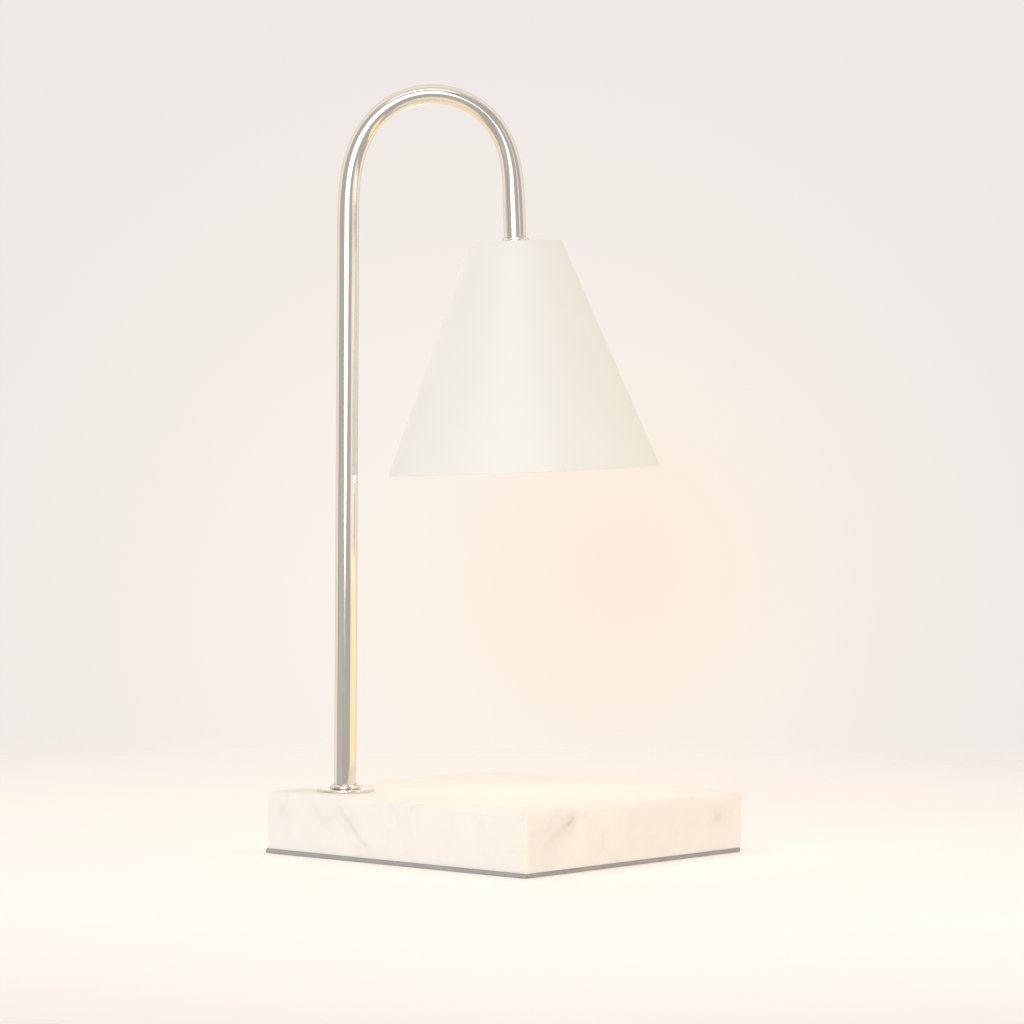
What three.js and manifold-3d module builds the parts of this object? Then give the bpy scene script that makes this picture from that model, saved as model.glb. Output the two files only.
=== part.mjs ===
// Candle warmer lamp: a square stone base, a polished gooseneck tube and a conical metal shade
// that holds a twist-lock reflector lamp facing down.
// Millimetres, +Z up. Origin: centre of the base's underside. The lamp's mirror plane is XZ: the
// pole stands near the base's corner on the -X diagonal and the shade hangs over the middle.

import * as THREE from 'three';
import { mergeVertices } from 'three/addons/utils/BufferGeometryUtils.js';
import Module from 'manifold-3d';

const wasm = await Module();
wasm.setup();

// ---------------------------------------------------------------- driving dimensions
const GAP = 0.3; // running gap between neighbours that touch

// base
const BASE_SIDE = 150.6; // square slab
const BASE_CORNER_R = 0.7; // upright edges
const BASE_EDGE_R = 2.8; // round along the top edges
const PAD_T = 1.7;
const PAD_SIDE = 150.2;
const BASE_TOP = 27.5;
const BASE_BOTTOM = 1.9; // underside of the stone, just above the pad
const POLE_BORE_R = 6.0;
const RECESS_R = 16.0; // recess under the pole for washer and nut
const RECESS_TOP = 18.5;
const CHANNEL_W = 7.0; // groove for the lead, from the recess to the hidden back side
const CHANNEL_TOP = 8.4;

// tube
const TUBE_R = 5.0;
const TUBE_BORE_R = 4.0;
const POLE_X = -71.6;
const TUBE_FOOT_Z = 12.2; // lower threaded end, inside the recess
const BEND_START_Z = 278.6; // where the pole starts to bend
const EASE_IN = 1.399; // the curvature rises and falls over these lengths, in tightest bend radii
const EASE_OUT = 0.8296;
const BEND_FLAT = 0.13; // the bend flattens the tube: thinner in the bend's plane, wider across it
const BEND_SPREAD = 0.06;
const TILT = THREE.MathUtils.degToRad(2.5); // the leg and the shade lean, bottom away from the pole
const SHADE_TOP_X = 2.823; // centre of the shade's top face
const SHADE_TOP_Z = 271.9;

// flange and collar on the slab
const FLANGE_R = 13.0;
const FLANGE_T = 1.1;
const COLLAR_R = 6.95;
const COLLAR_H = 1.7;

// shade, measured along its own axis down from its top face
const SHADE_TOP_R = 20.65;
const SHADE_RIM_R = 60.6;
const SHADE_H = 101.7;
const SHADE_T = 1.2;
const SHADE_EDGE_R = 1.8;
const TUBE_END_DEPTH = 13.5;

// lampholder stack, depths below the shade's top face
const BRACKET_DEPTH = 7.0;
const HOLDER_TOP = 18.3;
const HOLDER_SPLIT = 21.3;
const HOLDER_BOTTOM = 32.5;
const HOLDER_R = 14.0;
const PIN_OFFSET = 5.0; // half the pin spacing
const TWIST = THREE.MathUtils.degToRad(30); // twist from locked to free

// reflector lamp
const BULB_TOP = 33.0;
const BULB_FACE = 87.0;
const BULB_R = 25.0;

// lead
const LEAD_R = 2.1;
const LEAD_Z = 5.2;
const LEAD_BEND_R = 7.0;

// ---------------------------------------------------------------- materials
const stone = new THREE.MeshStandardMaterial({ color: 0xece4da, roughness: 0.32, metalness: 0.0 });
const foam = new THREE.MeshStandardMaterial({ color: 0x4c4a48, roughness: 0.95, metalness: 0.0 });
const polished = new THREE.MeshStandardMaterial({ color: 0xcfc8bf, roughness: 0.08, metalness: 1.0 });
const zinc = new THREE.MeshStandardMaterial({ color: 0xb4b3b0, roughness: 0.35, metalness: 1.0 });
const enamel = new THREE.MeshStandardMaterial({ color: 0xf1ece2, roughness: 0.55, metalness: 0.0 });
const ceramic = new THREE.MeshStandardMaterial({ color: 0xf2efe8, roughness: 0.45, metalness: 0.0 });
const brass = new THREE.MeshStandardMaterial({ color: 0xc8a052, roughness: 0.3, metalness: 1.0 });
const mirror = new THREE.MeshStandardMaterial({ color: 0xdedede, roughness: 0.12, metalness: 1.0 });
const lens = new THREE.MeshStandardMaterial({ color: 0xfff3dc, roughness: 0.1, metalness: 0.0 });
const rubber = new THREE.MeshStandardMaterial({ color: 0xdedbd5, roughness: 0.8, metalness: 0.0 });
const sheath = new THREE.MeshStandardMaterial({ color: 0xe9e6df, roughness: 0.6, metalness: 0.0 });
const wireBrown = new THREE.MeshStandardMaterial({ color: 0x5b3a24, roughness: 0.6, metalness: 0.0 });
const wireBlue = new THREE.MeshStandardMaterial({ color: 0x2c4f8a, roughness: 0.6, metalness: 0.0 });

// ---------------------------------------------------------------- geometry helpers
function bare(geometry) {
  const g = geometry.clone();
  g.deleteAttribute('normal');
  g.deleteAttribute('uv');
  return mergeVertices(g, 1e-4);
}

// merged vertices, no collapsed triangles, faces pointing out
function tidy(geometry) {
  const g = bare(geometry);
  const pos = g.attributes.position;
  const src = g.index.array;
  const tri = [];
  let volume = 0;
  const a = new THREE.Vector3();
  const b = new THREE.Vector3();
  const c = new THREE.Vector3();
  for (let i = 0; i < src.length; i += 3) {
    if (src[i] === src[i + 1] || src[i + 1] === src[i + 2] || src[i] === src[i + 2]) continue;
    tri.push(src[i], src[i + 1], src[i + 2]);
    a.fromBufferAttribute(pos, src[i]);
    b.fromBufferAttribute(pos, src[i + 1]);
    c.fromBufferAttribute(pos, src[i + 2]);
    volume += a.dot(b.cross(c)) / 6;
  }
  if (volume < 0) {
    for (let i = 0; i < tri.length; i += 3) [tri[i + 1], tri[i + 2]] = [tri[i + 2], tri[i + 1]];
  }
  const out = new THREE.BufferGeometry();
  out.setAttribute('position', new THREE.BufferAttribute(new Float32Array(pos.array), 3));
  out.setIndex(tri);
  return out;
}

function toSolid(geometry) {
  const g = tidy(geometry);
  return new wasm.Manifold(new wasm.Mesh({
    numProp: 3,
    vertProperties: new Float32Array(g.attributes.position.array),
    triVerts: new Uint32Array(g.index.array),
  }));
}

function fromSolid(body) {
  const m = body.getMesh();
  const g = new THREE.BufferGeometry();
  g.setAttribute('position', new THREE.BufferAttribute(new Float32Array(m.vertProperties), 3));
  g.setIndex(new THREE.BufferAttribute(new Uint32Array(m.triVerts), 1));
  return g;
}

function cut(geometry, ...tools) {
  return fromSolid(tools.reduce((body, t) => body.subtract(toSolid(t)), toSolid(geometry)));
}

function join(geometry, ...others) {
  return fromSolid(others.reduce((body, t) => body.add(toSolid(t)), toSolid(geometry)));
}

function common(geometry, ...others) {
  return fromSolid(others.reduce((body, t) => body.intersect(toSolid(t)), toSolid(geometry)));
}

// turned piece about Z from a closed loop of [r, z]
function turned(loop, segments) {
  const pts = loop.map(([r, z]) => new THREE.Vector2(r, z));
  pts.push(pts[0].clone());
  return tidy(new THREE.LatheGeometry(pts, segments).rotateX(Math.PI / 2));
}

// turned solid piece about Z: profile starts and ends on the axis
function turnedSolid(profile, segments) {
  const pts = profile.map(([r, z]) => new THREE.Vector2(r, z));
  return tidy(new THREE.LatheGeometry(pts, segments).rotateX(Math.PI / 2));
}

function rod(r, z0, z1, segments, x = 0, y = 0) {
  return new THREE.CylinderGeometry(r, r, z1 - z0, segments)
    .rotateX(Math.PI / 2).translate(x, y, (z0 + z1) / 2);
}

function block(x0, x1, y0, y1, z0, z1) {
  return new THREE.BoxGeometry(x1 - x0, y1 - y0, z1 - z0)
    .translate((x0 + x1) / 2, (y0 + y1) / 2, (z0 + z1) / 2);
}

function polygonShape(n, r, turn = 0) {
  const s = new THREE.Shape();
  for (let i = 0; i < n; i++) {
    const t = turn + (i / n) * 2 * Math.PI;
    if (i === 0) s.moveTo(r * Math.cos(t), r * Math.sin(t));
    else s.lineTo(r * Math.cos(t), r * Math.sin(t));
  }
  s.closePath();
  return s;
}

function plate(shape, z0, z1, curveSegments = 6) {
  return new THREE.ExtrudeGeometry(shape, { depth: z1 - z0, bevelEnabled: false, curveSegments })
    .translate(0, 0, z0);
}

function roundedSquare(half, r) {
  const s = new THREE.Shape();
  s.moveTo(-half + r, -half);
  s.lineTo(half - r, -half);
  s.absarc(half - r, -half + r, r, -Math.PI / 2, 0, false);
  s.lineTo(half, half - r);
  s.absarc(half - r, half - r, r, 0, Math.PI / 2, false);
  s.lineTo(-half + r, half);
  s.absarc(-half + r, half - r, r, Math.PI / 2, Math.PI, false);
  s.lineTo(-half, -half + r);
  s.absarc(-half + r, -half + r, r, Math.PI, 1.5 * Math.PI, false);
  return s;
}

// hexagon nut with chamfered corners
function hexNut(acrossFlats, z0, z1, boreR) {
  const corner = acrossFlats / Math.sqrt(3);
  const hex = plate(polygonShape(6, corner), z0, z1);
  const c = 0.6;
  const dome = turnedSolid([[0, z0], [corner - 2 * c, z0], [corner + 0.01, z0 + c],
    [corner + 0.01, z1 - c], [corner - 2 * c, z1], [0, z1]], 24);
  return cut(common(hex, dome), rod(boreR, z0 - 1, z1 + 1, 20));
}

// a path through given stations, each a point with its exact direction
class StationPath extends THREE.Curve {
  constructor(stations) {
    super();
    this.stations = stations;
  }

  mix(key, u, target) {
    const last = this.stations.length - 1;
    const f = u * last;
    const i = Math.min(Math.floor(f + 1e-6), last - 1);
    return target.copy(this.stations[i][key]).lerp(this.stations[i + 1][key], f - i);
  }

  getPoint(u, target = new THREE.Vector3()) { return this.mix('p', u, target); }

  getPointAt(u, target = new THREE.Vector3()) { return this.mix('p', u, target); }

  getTangent(u, target = new THREE.Vector3()) { return this.mix('t', u, target).normalize(); }

  getTangentAt(u, target = new THREE.Vector3()) { return this.getTangent(u, target); }
}

function swept(shape, stations) {
  return tidy(new THREE.ExtrudeGeometry(shape, {
    steps: stations.length - 1,
    extrudePath: new StationPath(stations),
    curveSegments: 8,
  }));
}

const vec = (x, y, z) => new THREE.Vector3(x, y, z);

// straight run of stations, ends included
function straight(from, to, n) {
  const t = to.clone().sub(from).normalize();
  return Array.from({ length: n + 1 }, (_, i) => ({ p: from.clone().lerp(to, i / n), t: t.clone() }));
}

// the bend, for a tightest radius of 1: points, heading and curvature, evenly spaced in heading
const bendTurn = Math.PI - TILT;
function unitBend(count) {
  const even = bendTurn - (EASE_IN + EASE_OUT) / 2;
  const length = EASE_IN + even + EASE_OUT;
  const fine = 6000;
  const step = length / fine;
  const curvature = (l) => Math.min(l / EASE_IN, 1, (length - l) / EASE_OUT);
  const out = [];
  let x = 0;
  let z = 0;
  let heading = 0;
  for (let i = 0; i < fine; i++) {
    while (out.length < count && heading >= (out.length / count) * bendTurn - 1e-9) {
      out.push({ x, z, heading, curvature: Math.max(curvature(i * step), 0) });
    }
    const next = heading + curvature((i + 0.5) * step) * step;
    x += Math.sin((heading + next) / 2) * step;
    z += Math.cos((heading + next) / 2) * step;
    heading = next;
  }
  out.push({ x, z, heading: bendTurn, curvature: 0 });
  return out;
}

// sized so that the leg runs down the shade's axis
const legDir = vec(Math.sin(TILT), 0, -Math.cos(TILT));
const shadeTop = vec(SHADE_TOP_X, 0, SHADE_TOP_Z);
const unitEnd = unitBend(1)[1];
const bendR = (SHADE_TOP_X - POLE_X - (BEND_START_Z - SHADE_TOP_Z) * Math.tan(TILT))
  / (unitEnd.x + unitEnd.z * Math.tan(TILT));
const legStart = vec(POLE_X + bendR * unitEnd.x, 0, BEND_START_Z + bendR * unitEnd.z);

// the tube's centre line: pole, bend and leg; end depth counts down from the shade's top face
function gooseneckLine(footZ, endDepth, poleSteps, bendSteps) {
  const line = straight(vec(POLE_X, 0, footZ), vec(POLE_X, 0, BEND_START_Z), poleSteps);
  for (const b of unitBend(bendSteps).slice(1)) {
    line.push({
      p: vec(POLE_X + bendR * b.x, 0, BEND_START_Z + bendR * b.z),
      t: vec(Math.sin(b.heading), 0, Math.cos(b.heading)),
      curvature: b.curvature,
    });
  }
  const end = shadeTop.clone().addScaledVector(legDir, endDepth);
  line.push(...straight(legStart, end, 3).slice(1));
  return line;
}

// flattens a tube swept along a line in the XZ plane where the line curves
function flattened(geometry, line) {
  const g = geometry.index ? geometry.toNonIndexed() : geometry.clone();
  const pos = g.getAttribute('position');
  const v = vec(0, 0, 0);
  for (let i = 0; i < pos.count; i++) {
    v.fromBufferAttribute(pos, i);
    let best = null;
    let least = Infinity;
    for (const s of line) {
      const d = v.clone().sub(s.p);
      const along = Math.abs(d.dot(s.t));
      if (d.length() < TUBE_R + 1 && along < least) {
        least = along;
        best = s;
      }
    }
    const k = best.curvature || 0;
    if (k > 0) {
      const d = v.clone().sub(best.p);
      const across = vec(-best.t.z, 0, best.t.x);
      const u = d.dot(across) * (1 - BEND_FLAT * k);
      const w = d.y * (1 + BEND_SPREAD * k);
      v.copy(best.p).addScaledVector(across, u);
      v.y += w;
      pos.setXYZ(i, v.x, v.y, v.z);
    }
  }
  return tidy(g);
}

// ---------------------------------------------------------------- assembly
const lamp = new THREE.Group();

function add(group, name, geometry, material) {
  const mesh = new THREE.Mesh(geometry, material);
  mesh.name = name;
  group.add(mesh);
  return mesh;
}

// ---- base: local axes along the slab's sides, a quarter of a right angle round from the lamp's
const base = new THREE.Group();
base.rotation.z = Math.PI / 4;
lamp.add(base);
const half = BASE_SIDE / 2;
const poleA = POLE_X / Math.SQRT2; // the pole in the slab's own axes
const poleB = -POLE_X / Math.SQRT2;

{
  // square prism with small upright edge rounds, cut by two profiles with rounded top edges
  const e = BASE_EDGE_R;
  const profile = new THREE.Shape();
  profile.moveTo(-half - 1, BASE_BOTTOM);
  profile.lineTo(half + 1, BASE_BOTTOM);
  profile.lineTo(half + 1, BASE_BOTTOM + 4);
  profile.lineTo(half, BASE_BOTTOM + 5);
  profile.lineTo(half, BASE_TOP - e);
  profile.absarc(half - e, BASE_TOP - e, e, 0, Math.PI / 2, false);
  profile.lineTo(-half + e, BASE_TOP);
  profile.absarc(-half + e, BASE_TOP - e, e, Math.PI / 2, Math.PI, false);
  profile.lineTo(-half, BASE_BOTTOM + 5);
  profile.lineTo(-half - 1, BASE_BOTTOM + 4);
  profile.closePath();
  const bar = (turn) => new THREE.ExtrudeGeometry(profile, { depth: 4 * half, bevelEnabled: false, curveSegments: 6 })
    .translate(0, 0, -2 * half).rotateX(Math.PI / 2).rotateZ(turn);
  const slab = common(plate(roundedSquare(half, BASE_CORNER_R), 0, BASE_TOP + 5, 4), bar(0), bar(Math.PI / 2));
  const stoneBody = cut(
    slab,
    rod(POLE_BORE_R, -5, BASE_TOP + 5, 36, poleA, poleB),
    rod(RECESS_R, -5, RECESS_TOP, 48, poleA, poleB),
    block(poleA - CHANNEL_W / 2, poleA + CHANNEL_W / 2, poleB, half + 10, -5, CHANNEL_TOP),
  );
  add(base, 'marble_base', stoneBody, stone);
  add(base, 'base_pad', tidy(plate(roundedSquare(PAD_SIDE / 2, 1.5), 0, PAD_T, 3)), foam);
}

// cord inlet bushing in the channel's mouth: a plug with a lip outside the slab
{
  const lip = 1.5;
  const body = block(-CHANNEL_W / 2 + GAP, CHANNEL_W / 2 - GAP, half - 4.5, half + 0.6, BASE_BOTTOM + 0.3, CHANNEL_TOP - GAP);
  const flange = plate(roundedSquare(4.8, 1.6), 0, lip, 4)
    .scale(1, 0.8, 1).rotateX(Math.PI / 2).translate(0, half + 0.3 + lip, (BASE_BOTTOM + CHANNEL_TOP) / 2 + 0.9);
  const bore = new THREE.CylinderGeometry(2.5, 2.5, 20, 24).translate(0, half, (BASE_BOTTOM + CHANNEL_TOP) / 2);
  add(base, 'cord_grommet', cut(join(body, flange), bore), rubber).position.set(poleA, 0, 0);
}

// washer, toothed lock washer and nut that clamp the tube to the slab from below
const foot = new THREE.Group();
foot.position.set(POLE_X, 0, 0);
lamp.add(foot);
add(foot, 'base_washer', turned([[5.4, 16.8], [13.0, 16.8], [13.0, 18.2], [5.4, 18.2]], 32), zinc);
{
  const teeth = 14;
  const star = new THREE.Shape();
  for (let i = 0; i < teeth * 4; i++) {
    const t = (i / (teeth * 4)) * 2 * Math.PI;
    const r = i % 4 < 2 ? 9.0 : 7.6;
    if (i === 0) star.moveTo(r, 0);
    else star.lineTo(r * Math.cos(t), r * Math.sin(t));
  }
  star.closePath();
  star.holes.push(new THREE.Path().absarc(0, 0, 5.4, 0, 2 * Math.PI, true));
  add(foot, 'base_lock_washer', tidy(plate(star, 16.0, 16.6, 7)), zinc);
}
add(foot, 'base_hex_nut', hexNut(14, 12.4, 15.8, 5.35), zinc);

// flange and collar on top of the slab
add(foot, 'base_flange', turned([[5.3, BASE_TOP + 0.1], [FLANGE_R, BASE_TOP + 0.1],
  [FLANGE_R, BASE_TOP + 0.1 + FLANGE_T - 0.4], [FLANGE_R - 0.5, BASE_TOP + 0.1 + FLANGE_T],
  [5.3, BASE_TOP + 0.1 + FLANGE_T]], 44), polished);
{
  const z = BASE_TOP + FLANGE_T + 0.3;
  add(foot, 'base_collar', turned([[5.3, z], [COLLAR_R, z], [COLLAR_R, z + 0.75],
    [COLLAR_R - 0.45, z + 1.2], [COLLAR_R - 1.25, z + COLLAR_H], [5.3, z + COLLAR_H]], 32), polished);
}

// ---- gooseneck tube
{
  const ring = polygonShape(24, TUBE_R);
  ring.holes.push(new THREE.Path(polygonShape(14, TUBE_BORE_R).getPoints().reverse()));
  const line = gooseneckLine(TUBE_FOOT_Z, TUBE_END_DEPTH, 4, 26);
  add(lamp, 'gooseneck_tube', flattened(swept(ring, line), line), polished);
}

// ---- lead from the inlet, through the channel and the tube, to the lampholder
{
  const back = vec(-Math.SQRT1_2, Math.SQRT1_2, 0); // towards the hidden back side
  const pole = vec(POLE_X, 0, LEAD_Z);
  const inlet = pole.clone().addScaledVector(back, half - 4.5 - GAP - poleB);
  const turn = pole.clone().addScaledVector(back, LEAD_BEND_R);
  const line = straight(inlet, turn, 3);
  const n = 6;
  for (let i = 1; i <= n; i++) {
    const a = (i / n) * (Math.PI / 2);
    line.push({
      p: turn.clone().addScaledVector(back, -LEAD_BEND_R * Math.sin(a)).add(vec(0, 0, LEAD_BEND_R * (1 - Math.cos(a)))),
      t: back.clone().multiplyScalar(-Math.cos(a)).add(vec(0, 0, Math.sin(a))),
    });
  }
  line.push(...gooseneckLine(LEAD_Z + LEAD_BEND_R, 8.5, 3, 16).slice(1));
  add(lamp, 'inner_lead', swept(polygonShape(8, LEAD_R), line), sheath);
}

// ---- everything on the shade's own axis: local origin on the shade's top face, depth = -z
const head = new THREE.Group();
head.position.copy(shadeTop);
head.rotation.y = -TILT;
lamp.add(head);

{
  const slope = (SHADE_RIM_R - SHADE_TOP_R) / SHADE_H;
  const tip = Math.atan(slope);
  const corner = Math.PI / 2 + tip; // angle inside the metal's bend between top and side
  const outer = [];
  const inner = [];
  // rounded edge between the flat top and the cone, outside and inside
  const centreR = SHADE_TOP_R - SHADE_EDGE_R / Math.tan(corner / 2);
  for (let i = 0; i <= 3; i++) {
    const a = Math.PI / 2 - (i / 3) * (Math.PI / 2 - tip);
    outer.push([centreR + SHADE_EDGE_R * Math.cos(a), -SHADE_EDGE_R + SHADE_EDGE_R * Math.sin(a)]);
    const ri = SHADE_EDGE_R - SHADE_T;
    inner.push([centreR + ri * Math.cos(a), -SHADE_EDGE_R + ri * Math.sin(a)]);
  }
  const rimInnerR = SHADE_RIM_R - SHADE_T / Math.cos(tip);
  const mid = (f, r0) => [r0 + slope * SHADE_H * f, -SHADE_H * f];
  const innerTop = SHADE_TOP_R - SHADE_T / Math.cos(tip);
  const loop = [
    [5.4, 0], ...outer,
    mid(0.5, SHADE_TOP_R),
    [SHADE_RIM_R - 0.15, -SHADE_H + 0.38], [SHADE_RIM_R - 0.35, -SHADE_H],
    [rimInnerR, -SHADE_H],
    mid(0.5, innerTop),
    ...inner.reverse(), [5.4, -SHADE_T],
  ];
  add(head, 'shade', turned(loop, 60), enamel);
}

add(head, 'shade_collar_nut', turned([[5.3, GAP], [6.8, GAP], [6.8, 0.7], [6.3, 1.1], [5.75, 1.95],
  [5.3, 1.95]], 32), polished);
add(head, 'shade_washer', turned([[5.4, -SHADE_T - GAP - 1.0], [9.0, -SHADE_T - GAP - 1.0],
  [9.0, -SHADE_T - GAP], [5.4, -SHADE_T - GAP]], 28), zinc);
add(head, 'shade_lock_nut', hexNut(14, -6.4, -2.9, 5.35), zinc);
add(head, 'bracket_nut', hexNut(14, -11.9, -8.4, 5.35), zinc);

// bracket: a strip bent to a U with its feet turned in, in the local YZ plane
{
  const t = 1.0;
  const top = -BRACKET_DEPTH;
  const footTop = -HOLDER_TOP + GAP + t;
  const w = 14.5;
  const s = new THREE.Shape();
  s.moveTo(-w + 1, top);
  s.lineTo(w - 1, top);
  s.lineTo(w, top - 1);
  s.lineTo(w, footTop - t + 0.6);
  s.lineTo(w - 0.6, footTop - t);
  s.lineTo(5.5, footTop - t);
  s.lineTo(5.5, footTop);
  s.lineTo(w - t, footTop);
  s.lineTo(w - t, top - t);
  s.lineTo(-w + t, top - t);
  s.lineTo(-w + t, footTop);
  s.lineTo(-5.5, footTop);
  s.lineTo(-5.5, footTop - t);
  s.lineTo(-w + 0.6, footTop - t);
  s.lineTo(-w, footTop - t + 0.6);
  s.lineTo(-w, top - 1);
  s.closePath();
  // shape drawn as (y, z), extruded along x
  const strip = new THREE.ExtrudeGeometry(s, { depth: 11, bevelEnabled: false })
    .translate(0, 0, -5.5)
    .applyMatrix4(new THREE.Matrix4().set(0, 0, 1, 0, 1, 0, 0, 0, 0, 1, 0, 0, 0, 0, 0, 1));
  add(head, 'holder_bracket', cut(
    strip,
    rod(5.4, top - 2, top + 2, 28),
    rod(1.8, footTop - 3, footTop + 2, 16, 0, 9),
    rod(1.8, footTop - 3, footTop + 2, 16, 0, -9),
  ), zinc);
}

// lampholder: back cap, body with contact chambers and arc keyhole slots
add(head, 'lampholder_cap', cut(
  turnedSolid([[0, -HOLDER_SPLIT], [HOLDER_R - 0.4, -HOLDER_SPLIT], [HOLDER_R, -HOLDER_SPLIT + 0.4],
    [HOLDER_R, -HOLDER_TOP - 0.6], [HOLDER_R - 0.6, -HOLDER_TOP], [0, -HOLDER_TOP]], 32),
  rod(1.35, -30, 0, 14, 7, 0), rod(1.35, -30, 0, 14, -7, 0),
  rod(1.8, -30, 0, 16, 0, 9), rod(1.8, -30, 0, 16, 0, -9),
), ceramic);

{
  const top = -HOLDER_SPLIT - GAP;
  const floor = -29.0;
  const body = turnedSolid([[0, -HOLDER_BOTTOM], [HOLDER_R - 0.8, -HOLDER_BOTTOM], [HOLDER_R, -HOLDER_BOTTOM + 0.8],
    [HOLDER_R, top], [0, top]], 32);
  const tools = [];
  for (const s of [1, -1]) {
    // chamber for the pin's head and the contact
    tools.push(block(Math.min(s * 1.6, s * 9.0), Math.max(s * 1.6, s * 9.0),
      Math.min(s * -5.4, s * 3.2), Math.max(s * -5.4, s * 3.2), floor, 0));
    // keyhole: round entry at the free end, narrow arc to the locked end
    const arc = new THREE.Shape();
    const a0 = (s === 1 ? 0 : Math.PI) - TWIST;
    const a1 = s === 1 ? 0 : Math.PI;
    const w = 1.9;
    arc.absarc(0, 0, PIN_OFFSET + w, a0, a1, false);
    arc.absarc(PIN_OFFSET * Math.cos(a1), PIN_OFFSET * Math.sin(a1), w, a1, a1 + Math.PI, false);
    arc.absarc(0, 0, PIN_OFFSET - w, a1, a0, true);
    arc.closePath();
    tools.push(plate(arc, -HOLDER_BOTTOM - 1, floor + 1, 6));
    tools.push(rod(2.85, -HOLDER_BOTTOM - 1, floor + 1, 24, PIN_OFFSET * Math.cos(a0), PIN_OFFSET * Math.sin(a0)));
    // screw hole with a recess for the head
    tools.push(rod(1.8, -HOLDER_BOTTOM - 1, 0, 16, 0, s * 9));
    tools.push(rod(3.1, -HOLDER_BOTTOM - 1, -29.9, 24, 0, s * 9));
  }
  add(head, 'lampholder_body', cut(body, ...tools), ceramic);
}

for (const [i, s] of [[1, 1], [2, -1]]) {
  const screw = join(
    turnedSolid([[0, -32.3], [1.6, -32.3], [2.4, -32.0], [2.7, -31.4], [2.7, -30.2], [0, -30.2]], 18),
    rod(1.45, -30.6, -15.6, 12),
  );
  const slot = block(-0.4, 0.4, -4, 4, -33, -31.5);
  add(head, `holder_screw_${i}`, cut(screw, slot), zinc).position.set(0, s * 9, 0);

  // contact: leaf along the chamber's outer wall with a tab under the cap
  const leaf = new THREE.Shape();
  leaf.moveTo(5.6, -21.9);
  leaf.lineTo(8.5, -21.9);
  leaf.lineTo(8.5, -28.4);
  leaf.lineTo(8.1, -28.7);
  leaf.lineTo(7.9, -28.4);
  leaf.lineTo(8.1, -27.6);
  leaf.lineTo(8.1, -22.3);
  leaf.lineTo(5.6, -22.3);
  leaf.closePath();
  // shape drawn as (x, z), extruded along -y
  const strip = new THREE.ExtrudeGeometry(leaf, { depth: 5, bevelEnabled: false })
    .translate(0, 0, -2.5).rotateX(Math.PI / 2);
  const contact = tidy(strip);
  if (s === -1) contact.rotateZ(Math.PI);
  add(head, `holder_contact_${i}`, contact, brass);
}

// two single conductors from the lead's end to the contacts
for (const [i, s, m] of [[1, 1, wireBrown], [2, -1, wireBlue]]) {
  const curve = new THREE.CatmullRomCurve3([
    vec(s * 1.15, 0, -8.8), vec(s * 1.15, 0, -11.2), vec(s * 1.6, 0, -13.6), vec(s * 4.2, 0, -15.4),
    vec(s * 6.4, 0, -16.8), vec(s * 7, 0, -18.6), vec(s * 7, 0, -21.5),
  ]);
  const n = 10;
  const stations = [];
  for (let k = 0; k <= n; k++) stations.push({ p: curve.getPointAt(k / n), t: curve.getTangentAt(k / n) });
  stations[0].t = vec(0, 0, -1);
  stations[n].t = vec(0, 0, -1);
  add(head, `lead_wire_${i}`, swept(polygonShape(8, 0.95), stations), m);
}

// ---- reflector lamp, turns about the shade's axis to lock
{
  const z = (d) => -d;
  // ceramic base: two sockets for the pins, a pocket for the capsule
  const body = turnedSolid([
    [0, z(47.2)], [13.2, z(47.2)], [13.4, z(46.4)], [12.6, z(43.5)], [11.4, z(41.0)],
    [11.4, z(BULB_TOP + 1.0)], [10.4, z(BULB_TOP)], [0, z(BULB_TOP)],
  ], 32);
  add(head, 'bulb_base', cut(
    body,
    rod(1.8, z(37.0), 0, 16, PIN_OFFSET, 0),
    rod(1.8, z(37.0), 0, 16, -PIN_OFFSET, 0),
    rod(4.4, z(60), z(40.5), 20),
  ), ceramic);

  for (const [i, s] of [[1, 1], [2, -1]]) {
    add(head, `bulb_pin_${i}`, turnedSolid([
      [0, z(36.7)], [1.5, z(36.7)], [1.5, z(28.4)], [2.4, z(28.2)], [2.4, z(26.0)], [1.9, z(25.4)], [0, z(25.4)],
    ], 14), brass).position.set(s * PIN_OFFSET, 0, 0);
  }

  // reflector: open shell from its neck at the base to its rim
  const r0 = 6.2;
  const d0 = 47.6;
  const d1 = 84.0;
  const rOut = (d) => 12.9 + (24.4 - 12.9) * Math.sqrt((d - d0) / (d1 - d0));
  const rIn = (d) => r0 + (22.9 - r0) * Math.sqrt((d - d0) / (d1 - d0));
  const stops = [0, 0.04, 0.14, 0.32, 0.6, 1].map((f) => d0 + f * (d1 - d0));
  const loop = [
    ...stops.map((d) => [rOut(d), z(d)]),
    [BULB_R, z(84.8)], [BULB_R, z(BULB_FACE - 0.3)], [BULB_R - 0.4, z(BULB_FACE)], [23.6, z(BULB_FACE)], [23.3, z(84.1)],
    ...stops.reverse().map((d) => [rIn(d), z(d)]),
  ];
  add(head, 'bulb_reflector', turned(loop, 36), mirror);
  add(head, 'bulb_front_glass', turnedSolid([[0, z(86.3)], [22.4, z(86.3)], [22.9, z(85.9)], [22.9, z(84.6)], [0, z(84.6)]], 36), lens);
  add(head, 'bulb_capsule', turnedSolid([
    [0, z(66.5)], [1.6, z(65.6)], [3.6, z(63.4)], [4.1, z(60)], [4.1, z(54.5)], [3.2, z(51.5)], [2.4, z(50.0)],
    [2.4, z(41.0)], [0, z(41.0)],
  ], 14), lens);
}

export default lamp;
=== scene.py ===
import math

import bmesh
import bpy
import numpy as np
from mathutils import Matrix, Quaternion, Vector, noise


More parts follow.
